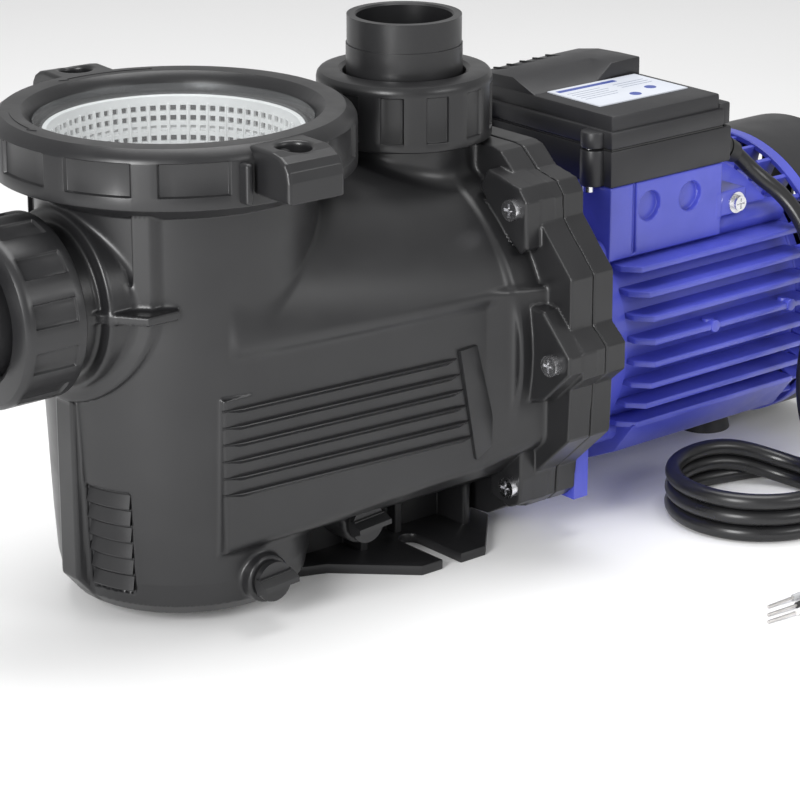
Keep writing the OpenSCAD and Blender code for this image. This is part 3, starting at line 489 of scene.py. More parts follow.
def sloped_cone(x, y, z):
    """Rounded back of the volute: a cone whose axis falls towards the flange."""
    tilt = math.atan2(146 - FLANGE_Z, 170)
    along = (x + 150) * math.cos(tilt) - (z - 146) * math.sin(tilt)
    across = (x + 150) * math.sin(tilt) + (z - 146) * math.cos(tilt)
    return (hypot(y, across) - (73 + 0.1075 * along)) * 0.994


def casing_field(p):
    x, y, z = p.T
    ay = np.abs(y)
    px = x - POT_X
    pot_r = hypot(px, y)
    pot = outline(pot_r, z, POT_SIDE) - 0.2
    # raised U-shaped pad round the suction port
    arch = np.where(z > SUCTION_Z, np.abs(ay - 48), np.abs(hypot(y, z - SUCTION_Z) - 48)) - 4
    pad = meet(arch, pot_r - np.interp(z, [50, 100, 150, 220], [69, 71.5, 73.5, 73.5]), 1.2)
    pad = meet(pad, between(z, 60, 219), 1)
    pad = np.maximum(pad, px)
    body = join(pot, pad, 1.0)
    # volute: rounded back over a flat-sided box
    back = meet(sloped_cone(x, y, z), 143 - z, 9)
    back = meet(back, between(x, -167, 24), 6)
    panel = (ay - half_width(x)) * 0.97
    side = meet(panel, outline(ay, z, BODY_SECTION), 3)
    side = meet(side, between(x, -171.5, 24), 2)
    facet = -0.487 * (x + 155.5) + 0.874 * (ay - 68.5)
    side = cut(side, np.maximum(-facet, 124 - z), 0.8)
    body = join(body, join(back, side, 2.5), 2.0)
    body = join(body, rod(y, z - FLANGE_Z, x, 91.5, 2, 36, 2), 4)
    # rear flange and its screw lugs
    rim = outline(ay, z, FLANGE_HALF)
    body = join(body, extruded(rim, between(x, 20, 36), 1.0), 2)
    lugs = outline(ay, z, LUGS[0])
    for points in LUGS[1:]:
        lugs = np.minimum(lugs, outline(ay, z, points))
    lugs = extruded(meet(lugs, rim), between(x, LUG_FRONT, 30), 1.5)
    body = join(body, lugs, 1.0)
    # suction neck, its foot, gussets and pilaster
    sz = z - SUCTION_Z
    neck = rod(y, sz, -x, 37.2, 200, 240, 0.5)
    neck = join(neck, rod(y, sz, -x, 45, 195, 220.5, 2), 3)
    gusset = outline(x, ay, [(-227, 35), (-209, 60), (-190, 60), (-190, 30)])
    gusset = extruded(gusset, between(sz, -2.5, 2.5), 1)
    body = join(body, join(neck, gusset, 2), 2.5)
    pilaster = outline(x, z, [(-219.5, 24), (-206, 9), (-190, 9), (-190, 118), (-219.5, 118)])
    pilaster = extruded(pilaster, ay - 7.5, 1.5)
    body = join(body, pilaster, 1.5)
    body = join(body, rod(y, sz, -x, 41.5, 237, 255, 0.6))
    # discharge neck
    body = join(body, rod(x, y, z, 37.2, 150, 222, 0.5), 7)
    body = join(body, rod(x, y, z, 41.5, 220, 238, 0.6))
    # drain plug bosses
    boss = rod(px - (POT_PLUG[0] - POT_X), z - POT_PLUG[2], -y, 12.5, 52, 71, 1.5)
    body = join(body, boss, 2)
    boss = rod(x - VOLUTE_PLUG[0], z - VOLUTE_PLUG[2], -y, 12, 30, 51, 1.5)
    body = join(body, boss, 3)
    # pedestal and ribs over the base plate
    legs = block(x, ay, z, (-104, -30, 0.2), (27.5, 18, 32), 1)
    for at, reach in ((-28, 26), (8.5, 40), (-58, 34)):
        legs = np.minimum(legs, block(x, ay, z, (at, -30, 0.2), (at + 5, reach, 36), 1))
    body = join(body, legs, 2)
    # hollows
    body = cut(body, outline(pot_r, z, POT_HOLLOW), 0.8)
    chamber_r = np.interp(x, [CHAMBER[0][0], CHAMBER[1][0]], [CHAMBER[0][1], CHAMBER[1][1]])
    chamber = np.maximum((hypot(y, z - FLANGE_Z) - chamber_r) * 0.97, between(x, CHAMBER[0][0], 37))
    body = cut(body, chamber, 0.8)
    body = cut(body, np.maximum(hypot(y, sz) - NECK_BORE, x + 200), 0.8)
    body = cut(body, np.maximum(hypot(x, y) - NECK_BORE, 160 - z), 0.8)
    body = cut(body, np.maximum(hypot(y, z - SHAFT_Z) - 24, between(x, -120, -70)), 0.8)
    # room for the volute plug's head, and the flat face towards the seal plate
    body = cut(body, rod(x - VOLUTE_PLUG[0], z - VOLUTE_PLUG[2], -y, 11.5, 51, 95, 0.5), 1.5)
    body = cut(body, np.maximum(36 - x, between(z, 120, 216.5)))
    # pocket for the louvres low on the pot
    angle = np.degrees(np.arctan2(y, px))
    pocket = extruded(between(z, POT_SLATS[0] - 1.5, POT_SLATS[1]), between(angle, -172, -148.5) * 1.15, 1.5)
    return cut(body, np.maximum(pocket, pot_wall(z) - 2.6 - pot_r), 1.5)


def make_casing():
    lo, hi = span("pump_casing")
    mesh = field_mesh("casing", casing_field, lo, (36.6, hi[1], hi[2]), 1.5)
    return publish(link_mesh("casing", mesh), "moulded_black", "housing", ["pump_casing"])


def make_base_plate():
    """Foot plate with two bolt slots open at its sides."""
    half = [(-106, 28), (-97, 31), (-83, 36), (-46.5, 70.5), (SLOT_X - SLOT_R, 70.5)]
    half += arc((SLOT_X, 36), SLOT_R, 180, 360, 12)
    half += [(SLOT_X + SLOT_R, 70.5), (-2.8, 70.5), (29, 37)]
    plan = half + [(x, -y) for x, y in reversed(half)]
    mesh = merged("base_plate", [prism(plan, 2, 0, 5.5, 0.7)])
    return publish(link_mesh("base_plate", mesh), "moulded_black", "housing")


def make_pot_louvres():
    """Six saw-tooth slats in the pocket low on the pot."""
    slats = []
    low, high = POT_SLATS
    pitch = (high - low) / 6
    for i in range(6):
        foot = low + pitch * i
        wall = float(pot_wall(foot))
        side = [(wall - 5, foot), (wall - 0.3, foot), (wall, foot + 0.7), (wall - 1.9, foot + pitch - 1.5),
                (wall - 5, foot + pitch - 1.5)]
        slats.append(swept(side, (POT_X, 0), -171.3, -149.3, 16))
    mesh = merged("pot_louvres", slats)
    return publish(link_mesh("pot_louvres", mesh), "moulded_black", "housing")


def make_louvres():
    """Saw-tooth blades along both side panels, with the sloped strip that ends them."""
    parts = []
    for side in (-1, 1):
        for i in range(6):
            top = LOUVRE_TOP - LOUVRE_PITCH * i
            end = -31.5 + 0.24 * (LOUVRE_TOP - top)
            corners = [(-171.5, 0.2), (-162, 2.4), (end - 6, 2.4), (end, 0.4), (end, -3), (-171.5, -3)]
            plan = [(x, side * (half_width(x) + out)) for x, out in corners]
            blade = prism(plan, 2, top - 3.4, top - 0.4, 0.5)
            for vert in blade.verts:
                if vert.co.z < (top - 2) * MM:
                    vert.co.y -= side * 2.0 * MM
            parts.append(blade)
        strip = [(-31, 123), (-19.5, 124), (-4.5, 69), (-19.5, 61)]
        bar = prism(strip, 1, side * half_width(-19) - side * 3, side * (half_width(-19) + 1.6), 0.6)
        parts.append(bar)
    mesh = merged("side_louvres", parts)
    return publish(link_mesh("side_louvres", mesh), "moulded_black", "housing")


def make_seal_plate():
    def plate_field(p):
        x, y, z = p.T
        rim = outline(np.abs(y), z, FLANGE_HALF)
        plate = extruded(rim, between(x, 36.1, PLATE_HI[0]), 0.9)
        plate = join(plate, rod(y, z - FLANGE_Z, x, 83, 26, 40, 1))
        plate = join(plate, rod(y, z - SHAFT_Z, x, 26, PLATE_LO[0], 30, 1))
        plate = cut(plate, hypot(y, z - SHAFT_Z) - 11.5)
        return cut(plate, np.maximum(hypot(y, z - SHAFT_Z) - 17.1, x - 24))

    mesh = field_mesh("seal_plate_cast", plate_field, PLATE_LO, PLATE_HI, 1.4)
    return publish(link_mesh("seal_plate_cast", mesh), "moulded_black", "housing", ["seal_plate"])


# ---------- lock ring ----------

RING_R = 90.7
WINDOW_R = 70
RING_TOP = 255
LUG_SIDE = [(84.5, 254.6), (102, 254.6), (108, 253.4), (112.5, 250.8), (115, 247), (116, 242), (116, 231.5),
            (84.5, 231.5)]


def ring_section(sunk):
    wall = RING_R - 1.8 if sunk else RING_R
    return [(WINDOW_R, 244), (WINDOW_R, 247), (WINDOW_R + 1, RING_TOP - 4), (WINDOW_R + 5, RING_TOP),
            (85, RING_TOP), (89.2, 252), (RING_R, 249.2), (wall, 248.6), (wall, 233), (RING_R, 232.4),
            (RING_R, 226.4), (90, 225.7), (83.5, 225.7), (83.5, 244)]


def ring_arrow(start, end):
    """Raised turning arrow on the ring's top face."""
    low, high = RING_TOP - 0.2, RING_TOP + 0.3
    line = swept(box_points((79.4, low), (80.6, high)), (POT_X, 0), start, end, 14)
    head = swept(box_points((77.6, low), (82.4, high)), (POT_X, 0), end, end + 3.4, 3)
    for vert in head.verts:
        x, y = vert.co.x / MM - POT_X, vert.co.y / MM
        part = (math.degrees(math.atan2(y, x)) - end) / 3.4
        r = 80 + (math.hypot(x, y) - 80) * (1 - 0.9 * part)
        size = r / math.hypot(x, y)
        vert.co.x, vert.co.y = (POT_X + x * size) * MM, y * size * MM
    return [line, head]


def lug_field(p):
    """Wrench lug: u outwards, v along the ring."""
    u, v, z = p.T
    lug = extruded(outline(u, z, LUG_SIDE), np.abs(v) - 16.5, 2)
    lug = cut(lug, hypot(u - 98, v) - 8.5, 2.5)
    rib = block(u, v, z, (84.5, -24, 228), (93.5, -20, 248), 1.5)
    return join(lug, rib, 1.5)


def make_lock_ring():
    ring = moved(panel_ring(ring_section, 10.8, (3, 9)), (POT_X, 0, 0))
    mesh = merged("lid_lock_ring", [ring] + ring_arrow(62, 97) + ring_arrow(150, 176))
    publish(link_mesh("lid_lock_ring", mesh), "moulded_black", "lid_ring", ["lock_ring"])
    mesh = field_mesh("ring_lug", lug_field, (84.5, -24, 228), (116, 17, 255), 0.6)
    for name, turn in (("front", -91), ("rear", 85)):
        data = mesh.copy()
        data.transform(Matrix.Translation((POT_X * MM, 0, 0)) @ Matrix.Rotation(math.radians(turn), 4, "Z"))
        publish(link_mesh(name + "_ring_lug", data), "moulded_black", "lid_ring")


# ---------- union nuts ----------

def nut_section(sunk):
    """Union nut about Z, rear face at 0."""
    wall = 44.6 if sunk else 46.1
    return [(31.2, 27.3), (31.2, 31), (32.4, 33.6), (34.6, 35), (42, 35), (44.4, 34.2), (45.7, 32.6),
            (46.1, 30.8), (46.1, 28.9), (wall, 28.4), (wall, 5.2), (46.1, 4.7), (46.1, 0.6), (45.5, 0),
            (42, 0), (42, 27.3)]


def make_nuts():
    mesh = merged("union_nut", [panel_ring(nut_section, 7.4)])
    turn = Matrix.Rotation(math.radians(12), 4, "Z")
    places = (
        ("discharge", "discharge_ring", Matrix.Translation((0, 0, DISCHARGE_Z * MM))),
        ("suction", "suction_ring",
         Matrix.Translation((SUCTION_X * MM, 0, SUCTION_Z * MM)) @ Matrix.Rotation(-math.pi / 2, 4, "Y")),
    )
    for name, body, place in places:
        data = mesh.copy()
        data.transform(place @ turn)
        publish(link_mesh(name + "_union_nut", data), "moulded_black", body, [name + "_nut"])


# ---------- straight-edged solids ----------

def prism(points, axis, lo, hi, bevel=0.6, segments=2):
    """Bevelled bar: an outline pushed along an axis. Points are in the other two axes, in order."""
    bm = bmesh.new()
    others = [a for a in range(3) if a != axis]
    rings = []
    for at in (lo, hi):
        ring = []
        for point in points:
            place = [0.0, 0.0, 0.0]
            place[axis] = at * MM
            place[others[0]] = point[0] * MM
            place[others[1]] = point[1] * MM
            ring.append(bm.verts.new(place))
        rings.append(ring)
    count = len(points)
    bm.faces.new(rings[0])
    bm.faces.new(rings[1])
    for i in range(count):
        bm.faces.new((rings[0][i], rings[0][(i + 1) % count], rings[1][(i + 1) % count], rings[1][i]))
    bmesh.ops.recalc_face_normals(bm, faces=bm.faces)
    if bevel:
        round_edges(bm, bevel, 25, segments)
    return bm


def box_points(lo, hi):
    return [(lo[0], lo[1]), (hi[0], lo[1]), (hi[0], hi[1]), (lo[0], hi[1])]


def arc(centre, radius, start, end, steps):
    """Points on an arc, angles in degrees."""
    return [
        (centre[0] + radius * math.cos(math.radians(start + (end - start) * i / steps)),
         centre[1] + radius * math.sin(math.radians(start + (end - start) * i / steps)))
        for i in range(steps + 1)
    ]


def disc(centre, radius):
    """Points all round a circle, 15 degrees apart."""
    return arc(centre, radius, 0, 345, 23)


def lathe(profile, centre, axis=0, steps=96):
    """Closed (radius, along) profile turned about an axis through centre."""
    bm = bmesh.new()
    others = [a for a in range(3) if a != axis]
    rings = []
    for i in range(steps):
        a = 2 * math.pi * i / steps
        ring = []
        for radius, along in profile:
            place = [0.0, 0.0, 0.0]
            place[axis] = along * MM
            place[others[0]] = (centre[0] + radius * math.cos(a)) * MM
            place[others[1]] = (centre[1] + radius * math.sin(a)) * MM
            ring.append(bm.verts.new(place))
        rings.append(ring)
    count = len(profile)
    for i in range(steps):
        for j in range(count):
            quad = (rings[i][j], rings[(i + 1) % steps][j], rings[(i + 1) % steps][(j + 1) % count],
                    rings[i][(j + 1) % count])
            bm.faces.new(quad)
    bmesh.ops.remove_doubles(bm, verts=bm.verts, dist=1e-7)
    bmesh.ops.recalc_face_normals(bm, faces=bm.faces)
    return bm


def round_edges(bm, width, angle=30, segments=2):
    """Bevels every edge sharper than angle."""
    sharp = [e for e in bm.edges if e.calc_face_angle(0) > math.radians(angle)]
    bmesh.ops.bevel(bm, geom=sharp, offset=width * MM, segments=segments, profile=0.5,
                    affect="EDGES", clamp_overlap=True)


def bridge(bm, a, b):
    """Quads between two closed loops of vertices."""
    for j in range(len(a)):
        k = (j + 1) % len(a)
        bm.faces.new((a[j], b[j], b[k], a[k]))


def swept(profile, centre, start, end, steps):
    """Closed (radius, z) profile carried round a vertical axis from one angle to another."""
    bm = bmesh.new()
    rings = []
    for i in range(steps + 1):
        a = math.radians(start + (end - start) * i / steps)
        rings.append([
            bm.verts.new(((centre[0] + r * math.cos(a)) * MM, (centre[1] + r * math.sin(a)) * MM, z * MM))
            for r, z in profile
        ])
    for a, b in zip(rings, rings[1:]):
        bridge(bm, a, b)
    bm.faces.new(rings[0])
    bm.faces.new(rings[-1])
    bmesh.ops.recalc_face_normals(bm, faces=bm.faces)
    return bm


def panel_ring(section, half, skip=()):
    """Ring about Z with a grip panel every 30 degrees; section(sunk) is its closed (radius, z) outline."""
    bm = bmesh.new()
    ramp = 0.3
    web = 30 - 2 * (half + ramp)
    rings = []
    for i in range(12):
        stations = [(part * (half - ramp), i not in skip) for part in (-1, -0.6, -0.2, 0.2, 0.6, 1)]
        stations += [(half + ramp + part * web, False) for part in (0, 1 / 3, 2 / 3, 1)]
        for angle, sunk in stations:
            a = math.radians(30 * i + angle)
            rings.append([bm.verts.new((r * math.cos(a) * MM, r * math.sin(a) * MM, z * MM))
                          for r, z in section(sunk)])
    for a, b in zip(rings, rings[1:] + rings[:1]):
        bridge(bm, a, b)
    bmesh.ops.recalc_face_normals(bm, faces=bm.faces)
    round_edges(bm, 0.3, 40)
    return bm


def tub(lo, hi, wall, skin, up, edge):
    """Thin-walled box, open at the top when up is 1 and at the bottom when it is -1."""
    bm = bmesh.new()
    base, rim = (lo[2], hi[2]) if up > 0 else (hi[2], lo[2])
    outside = box_points(lo, hi)
    inside = box_points((lo[0] + wall, lo[1] + wall), (hi[0] - wall, hi[1] - wall))
    loops = []
    for corners, z in ((outside, base), (outside, rim), (inside, rim), (inside, base + up * skin)):
        loops.append([bm.verts.new((x * MM, y * MM, z * MM)) for x, y in corners])
    for a, b in zip(loops, loops[1:]):
        bridge(bm, a, b)
    bm.faces.new(loops[0])
    bm.faces.new(loops[-1])
    bmesh.ops.recalc_face_normals(bm, faces=bm.faces)
    round_edges(bm, edge)
    return bm


def merged(name, parts, angle=32):
    """One mesh of several bmesh solids."""
    mesh = bpy.data.meshes.new(name)
    whole = bmesh.new()
    for part in parts:
        part.to_mesh(mesh)
        whole.from_mesh(mesh)
        part.free()
    whole.to_mesh(mesh)
    whole.free()
    smooth(mesh, angle)
    return mesh


def moved(part, offset, turn=None):
    if turn is not None:
        bmesh.ops.transform(part, matrix=turn, verts=part.verts)
    bmesh.ops.translate(part, vec=Vector(offset) * MM, verts=part.verts)
    return part


# ---------- motor ----------

FIN_R = 84.6
FIN_FIRST = 48.5
FIN_PITCH = 12.67
FRAME_FRONT = 98
FRAME_REAR = 232
BARREL_R = 70
FRAME_BORE = 64
TIE_R = 72


def fin_tip(z):
    return math.sqrt(FIN_R ** 2 - (z - SHAFT_Z) ** 2)


def make_motor_frame():
    barrel = [(FRAME_BORE, FRAME_FRONT), (BARREL_R - 0.8, FRAME_FRONT), (BARREL_R, FRAME_FRONT + 0.8),
              (BARREL_R, FRAME_REAR - 0.8), (BARREL_R - 0.8, FRAME_REAR), (FRAME_BORE, FRAME_REAR)]
    parts = [lathe(barrel, (0, SHAFT_Z), 0, 120)]
    for side in (-1, 1):
        for k in range(8):
            z = FIN_FIRST + k * FIN_PITCH
            tip = fin_tip(z)
            start = FRAME_FRONT + 1
            plan = [(start, side * 50), (start, side * (tip - 9)), (start + 7.5, side * tip),
                    (FRAME_REAR - 2, side * tip), (FRAME_REAR - 2, side * 50)]
            parts.append(prism(plan, 2, z - 1.7, z + 1.7, 0.7))
        # moulded ejector pads across one fin
        z = FIN_FIRST + 4 * FIN_PITCH
        for at in (152, 212):
            plan = disc((at, side * (fin_tip(z) - 6)), 3.4)
            parts.append(prism(plan, 2, z - 3.4, z + 3.4, 0.6))
            edge = disc((at, z), 3.4)
            parts.append(prism(edge, 1, side * (fin_tip(z) - 8), side * (fin_tip(z) + 0.4), 0.4))
        for up in (-1, 1):
            c = (side * TIE_R * math.sqrt(0.5), SHAFT_Z + up * TIE_R * math.sqrt(0.5))
            parts.append(prism(disc(c, 7), 0, FRAME_FRONT + 0.2, FRAME_REAR - 0.2, 0.8))
    skirt = [(-71.6, 48.5), (-56, 29), (-24, 14.5), (24, 14.5), (56, 29), (71.6, 48.5)]
    parts.append(prism(skirt, 0, FRAME_FRONT + 6, FRAME_REAR, 1.2))
    parts.append(prism(box_points((FOOT[0] - 18, -18), (FOOT[0], 18)), 2, 9, 28, 1.5))
    mesh = merged("motor_casting", parts)
    return publish(link_mesh("motor_casting", mesh), "blue_paint", "housing", ["motor_frame"])


def make_motor_pad():
    """Pad under the terminal box, with blind knockouts and a drip groove."""
    lo = (BOX_HI[0] - 85, -60, 141)
    hi = (BOX_HI[0], 60, BOX_LO[2])

    def pad_field(p):
        x, y, z = p.T
        ay = np.abs(y)
        pad = block(x, y, z, lo, hi, 1.0)
        pad = join(pad, block(x, y, z, (hi[0] - 4, lo[1], 151), (hi[0] + 19.4, -36, 165), 1.0), 1)
        for at in (123, 153.9):
            pad = cut(pad, np.maximum(hypot(x - at, z - 167.6) - 8.2, 56.5 - ay), 0.5)
        pad = cut(pad, np.maximum(np.abs(x - 111.8) - 1.4, np.maximum(58 - ay, between(z, 143, 181.5))), 0.5)
        return cut(pad, hypot(y, z - SHAFT_Z) - 66, 0.5)

    mesh = field_mesh("box_pad", pad_field, lo, (hi[0] + 20, hi[1], hi[2]), 1.0)
    return publish(link_mesh("box_pad", mesh), "blue_paint", "housing")


def make_rear_shield():
    """Rear end shield: hub and web, radial ribs and the band that carries the fan cover."""
    hub = [(10.5, FRAME_REAR + 0.2), (69, FRAME_REAR + 0.2), (70, FRAME_REAR + 1.2), (70, 238),
           (58, 238.5), (28, 244), (27, 250), (10.5, 250)]
    parts = [lathe(hub, (0, SHAFT_Z), 0, 96)]
    band = [(80.8, 243), (83.4, 243), (84, 243.6), (84, 249.8), (80.8, 249.8)]
    parts.append(lathe(band, (0, SHAFT_Z), 0, 120))
    for i in range(36):
        rib = prism(box_points((FRAME_REAR + 0.4, -1.3), (249, 1.3)), 2, 58, 82.5, 0.4)
        bmesh.ops.transform(rib, matrix=Matrix.Rotation(math.radians(10 * i + 5), 4, "X"), verts=rib.verts)
        parts.append(moved(rib, (0, 0, SHAFT_Z)))
    mesh = merged("rear_end_shield", parts)
    return publish(link_mesh("rear_end_shield", mesh), "blue_paint", "housing", ["rear_shield"])


BOX_LENGTH = 85
BOX_END = 6
POST_R = 7.2
HUMP_REAR = [(55.5, -4.2), (58, -12)]


def hump(x0, x1, top):
    """Raised rear part: a ramp beside the label that turns into a step at its far end."""
    sections = (
        (x0 + 2.5, [(4, 219.5), (4.1, 221), (22, top - 2.6), (38, top - 3.4)], top - 2.4),
        (x1 - 36, [(4, 219.5), (4.1, 221), (22, top - 1.0), (38, top - 1.6)], top - 0.8),
        (x1 - 24, [(4.9, 219.5), (5, top - 0.4), (22, top - 0.6), (38, top - 1.3)], top - 0.4),
        (x1 - 2, [(4.9, 219.5), (5, top), (22, top - 0.3), (38, top - 1.1)], top),
    )
    bm = bmesh.new()
    loops = []
    for x, front, crest in sections:
        points = front + [(y, crest + drop) for y, drop in HUMP_REAR]
        loops.append([bm.verts.new((x * MM, y * MM, z * MM)) for y, z in points])
    for a, b in zip(loops, loops[1:]):
        bridge(bm, a, b)
    bm.faces.new(loops[0])
    bm.faces.new(loops[-1])
    bmesh.ops.recalc_face_normals(bm, faces=bm.faces)
    round_edges(bm, 0.7, 35)
    return bm


def make_terminal_cover():
    """Cover in two steps, with a raised rear part and a row of ribs on it."""
    x1 = BOX_HI[0]
    x0 = x1 - BOX_LENGTH
    z0 = COVER_LO[2]
    top = 230.4
    parts = [
        tub((x0, -60, z0), (x1, 60, 212.6), 4, 3, -1, 1.2),
        tub((x0 + 2, -58, z0 + 2), (x1 - 2, 58, 221), 3.5, 3, -1, 1.4),
        prism(box_points((x1 - 2, -58.5), (x1 + BOX_END, 58.5)), 2, z0, 215.3, 1.2),
        hump(x0, x1, top),
    ]
    for side in (-1, 1):
        parts.append(prism(disc((x0 - 1, side * 47), POST_R), 2, z0, 212, 1.2))
    for k in range(5):
        rib = prism(box_points((-0.6, 0), (0.6, 31)), 2, -0.4, 0.5, 0.2, 1)
        lean = Matrix.Rotation(math.radians(15.5), 4, "Z") @ Matrix.Rotation(math.radians(-4.5), 4, "X")
        parts.append(moved(rib, (x0 + 24.2 + 9.8 * k, 23, top - 2.4 + 0.32 * k), lean))
    mesh = merged("terminal_lid", parts)
    return publish(link_mesh("terminal_lid", mesh), "box_black", "housing", ["terminal_cover"])


def make_terminal_box():
    x1 = BOX_HI[0]
    x0 = x1 - BOX_LENGTH
    parts = [tub((x0, -60, BOX_LO[2]), (x1 + BOX_END, 60, BOX_HI[2]), 3, 3, 1, 1.2)]
    for side in (-1, 1):
        parts.append(prism(disc((x0 - 1, side * 47), POST_R), 2, BOX_LO[2], BOX_HI[2], 1.2))
    mesh = merged("terminal_base", parts)
    return publish(link_mesh("terminal_base", mesh), "box_black", "housing", ["terminal_box"])


def make_plate_marks():
    """Plain print on the rating plate: a band, two round marks and rules, no lettering."""
    lo, hi = span("rating_plate")
    z = hi[2]
    band = [prism(box_points((lo[0] + 3, hi[1] - 7), (hi[0] - 20, hi[1] - 3.4)),
                  2, z - 0.1, z + 0.12, 0.04, 1)]
    for at in ((lo[0] + 34, lo[1] + 8), (lo[0] + 51, lo[1] + 14)):
        band.append(prism(disc(at, 3.4), 2, z - 0.1, z + 0.12, 0.04, 1))
    mesh = merged("plate_marks", band)
    publish(link_mesh("plate_marks", mesh), "print_blue", "housing", ())
    rows = []
    left = [(row, lo[0] + 4, lo[0] + 28 + 3 * (row % 2)) for row in range(5)]
    right = [(row, lo[0] + 38, hi[0] - 5) for row in range(3)]
    for row, start, end in left + right:
        y = hi[1] - 12 - row * 3.6
        rows.append(prism(box_points((start, y - 0.35), (end, y + 0.35)), 2, z - 0.1, z + 0.1, 0.03, 1))
    mesh = merged("plate_rules", rows)
    publish(link_mesh("plate_rules", mesh), "print_grey", "housing", ())


CAD_FINISH = {
    "zinc_screw": "casing_screws fan_cover_screws tie_bolts motor_bolts cover_screws earth_screw",
    "black_rubber": "casing_gasket lid_o_ring suction_o_ring discharge_o_ring pot_plug_o_ring "
                    "volute_plug_o_ring slinger terminal_gasket cable_gland motor_foot",
    "inner_black": "diffuser impeller cooling_fan terminal_block",
    "ceramic_white": "seal_seat capacitor",
    "clear_lens": "lid_lens",
    "moulded_black": "suction_tailpiece discharge_tailpiece pot_drain_plug volute_drain_plug",
    "blue_paint": "front_shield",
    "lamination_steel": "stator_core rotor_core",
    "copper_winding": "stator_windings",
    "shaft_steel": "shaft seal_rotor",
    "bearing_steel": "front_bearing_outer front_bearing_inner "
                    "rear_bearing_outer rear_bearing_inner",
    "cover_black": "fan_cover",
    "plate_foil": "rating_plate",
}
BEVEL = {"fan_cover": 0.6, "front_shield": 1.0, "motor_foot": 0.8, "discharge_tailpiece": 0.5,
         "suction_tailpiece": 0.5, "pot_drain_plug": 0.5, "volute_drain_plug": 0.5,
         "casing_screws": 0.5, "earth_screw": 0.3, "rating_plate": 0.2}


def finish_cad_nodes():
    """Materials, smooth shading and broken edges on the CAD solids that stay in view."""
    pairs = [(node, material) for material, nodes in CAD_FINISH.items() for node in nodes.split()]
    for node, material in pairs:
        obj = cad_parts[node]
        obj.data.materials.clear()
        obj.data.materials.append(MATERIALS[material])
        smooth(obj.data, 30)
        if node in BEVEL:
            bevel = obj.modifiers.new("edges", "BEVEL")
            bevel.width = BEVEL[node] * MM
            bevel.segments = 2
            bevel.limit_method = "ANGLE"
            bevel.angle_limit = math.radians(40)
            bevel.use_clamp_overlap = True


# ---------- strainer basket ----------

BASKET_TOP = 245
WALL_TOP = 241
WALL_FOOT = 112
WALL_TOP_R = 64
WALL_FOOT_R = 55
HOLE_COLUMNS = 76
HOLE_ROWS = 25


def make_basket():
    bm = bmesh.new()
    dr = (WALL_TOP_R - WALL_FOOT_R) / (WALL_TOP - WALL_FOOT)

    def point(angle, z, inset):
        r = WALL_FOOT_R + (z - WALL_FOOT) * dr - inset
        return bm.verts.new(((POT_X + r * math.cos(angle)) * MM, r * math.sin(angle) * MM, z * MM))

    pitch_a = 2 * math.pi / HOLE_COLUMNS
    pitch_z = (WALL_TOP - WALL_FOOT) / HOLE_ROWS
    for i in range(HOLE_COLUMNS):
        for j in range(HOLE_ROWS):
            a0, z0 = i * pitch_a, WALL_FOOT + j * pitch_z
            loops = []
            for inset in (0.0, 2.0):
                outer = [point(a0 + u * pitch_a, z0 + v * pitch_z, inset) for u, v in
                         ((0, 0), (1, 0), (1, 1), (0, 1))]
                inner = [point(a0 + u * pitch_a, z0 + v * pitch_z, inset) for u, v in
                         ((0.2, 0.22), (0.8, 0.22), (0.8, 0.78), (0.2, 0.78))]
                for k in range(4):
                    bm.faces.new((outer[k], outer[(k + 1) % 4], inner[(k + 1) % 4], inner[k]))
                loops.append(inner)
            for k in range(4):
                bm.faces.new((loops[0][k], loops[0][(k + 1) % 4], loops[1][(k + 1) % 4], loops[1][k]))
    bmesh.ops.remove_doubles(bm, verts=bm.verts, dist=1e-6)
    bmesh.ops.recalc_face_normals(bm, faces=bm.faces)
    rim = lathe([(WALL_TOP_R - 2, WALL_TOP - 0.4), (WALL_TOP_R - 1.6, BASKET_TOP - 0.5),
                 (WALL_TOP_R - 1.1, BASKET_TOP), (64.6, BASKET_TOP), (65, BASKET_TOP - 0.5),
                 (65, WALL_TOP - 1.2), (WALL_TOP_R, WALL_TOP - 1.4)],
                (POT_X, 0), 2, 128)
    flange = lathe([(62, 224.3), (68.3, 224.3), (68.6, 224.7), (68.6, 227.6), (68.2, 228), (62, 228)],
                   (POT_X, 0), 2, 128)
    floor = lathe([(0, 110), (53, 110), (WALL_FOOT_R, WALL_FOOT), (WALL_FOOT_R - 2, WALL_FOOT),
                   (0, WALL_FOOT)], (POT_X, 0), 2, HOLE_COLUMNS)
    ribs = []
    for i in range(HOLE_COLUMNS // 2):
        turn = Matrix.Rotation(i * 2 * pitch_a, 4, "Z")
        lean = math.atan2(WALL_TOP_R - WALL_FOOT_R, WALL_TOP - WALL_FOOT)
        rib = prism(box_points((-0.5, -0.45), (0.7, 0.45)), 2, 0, WALL_TOP - WALL_FOOT, 0.15, 1)
        bmesh.ops.transform(rib, matrix=Matrix.Rotation(lean, 4, "Y"), verts=rib.verts)
        bmesh.ops.translate(rib, vec=Vector(((WALL_FOOT_R - 2.4) * MM, 0, WALL_FOOT * MM)), verts=rib.verts)
        bmesh.ops.transform(rib, matrix=turn, verts=rib.verts)
        bmesh.ops.translate(rib, vec=Vector((POT_X * MM, 0, 0)), verts=rib.verts)
        ribs.append(rib)
    mesh = merged("basket", [bm, rim, flange, floor] + ribs, 28)
    return publish(link_mesh("basket", mesh), "basket_white", "basket", ["strainer_basket"])


# ---------- cord ----------

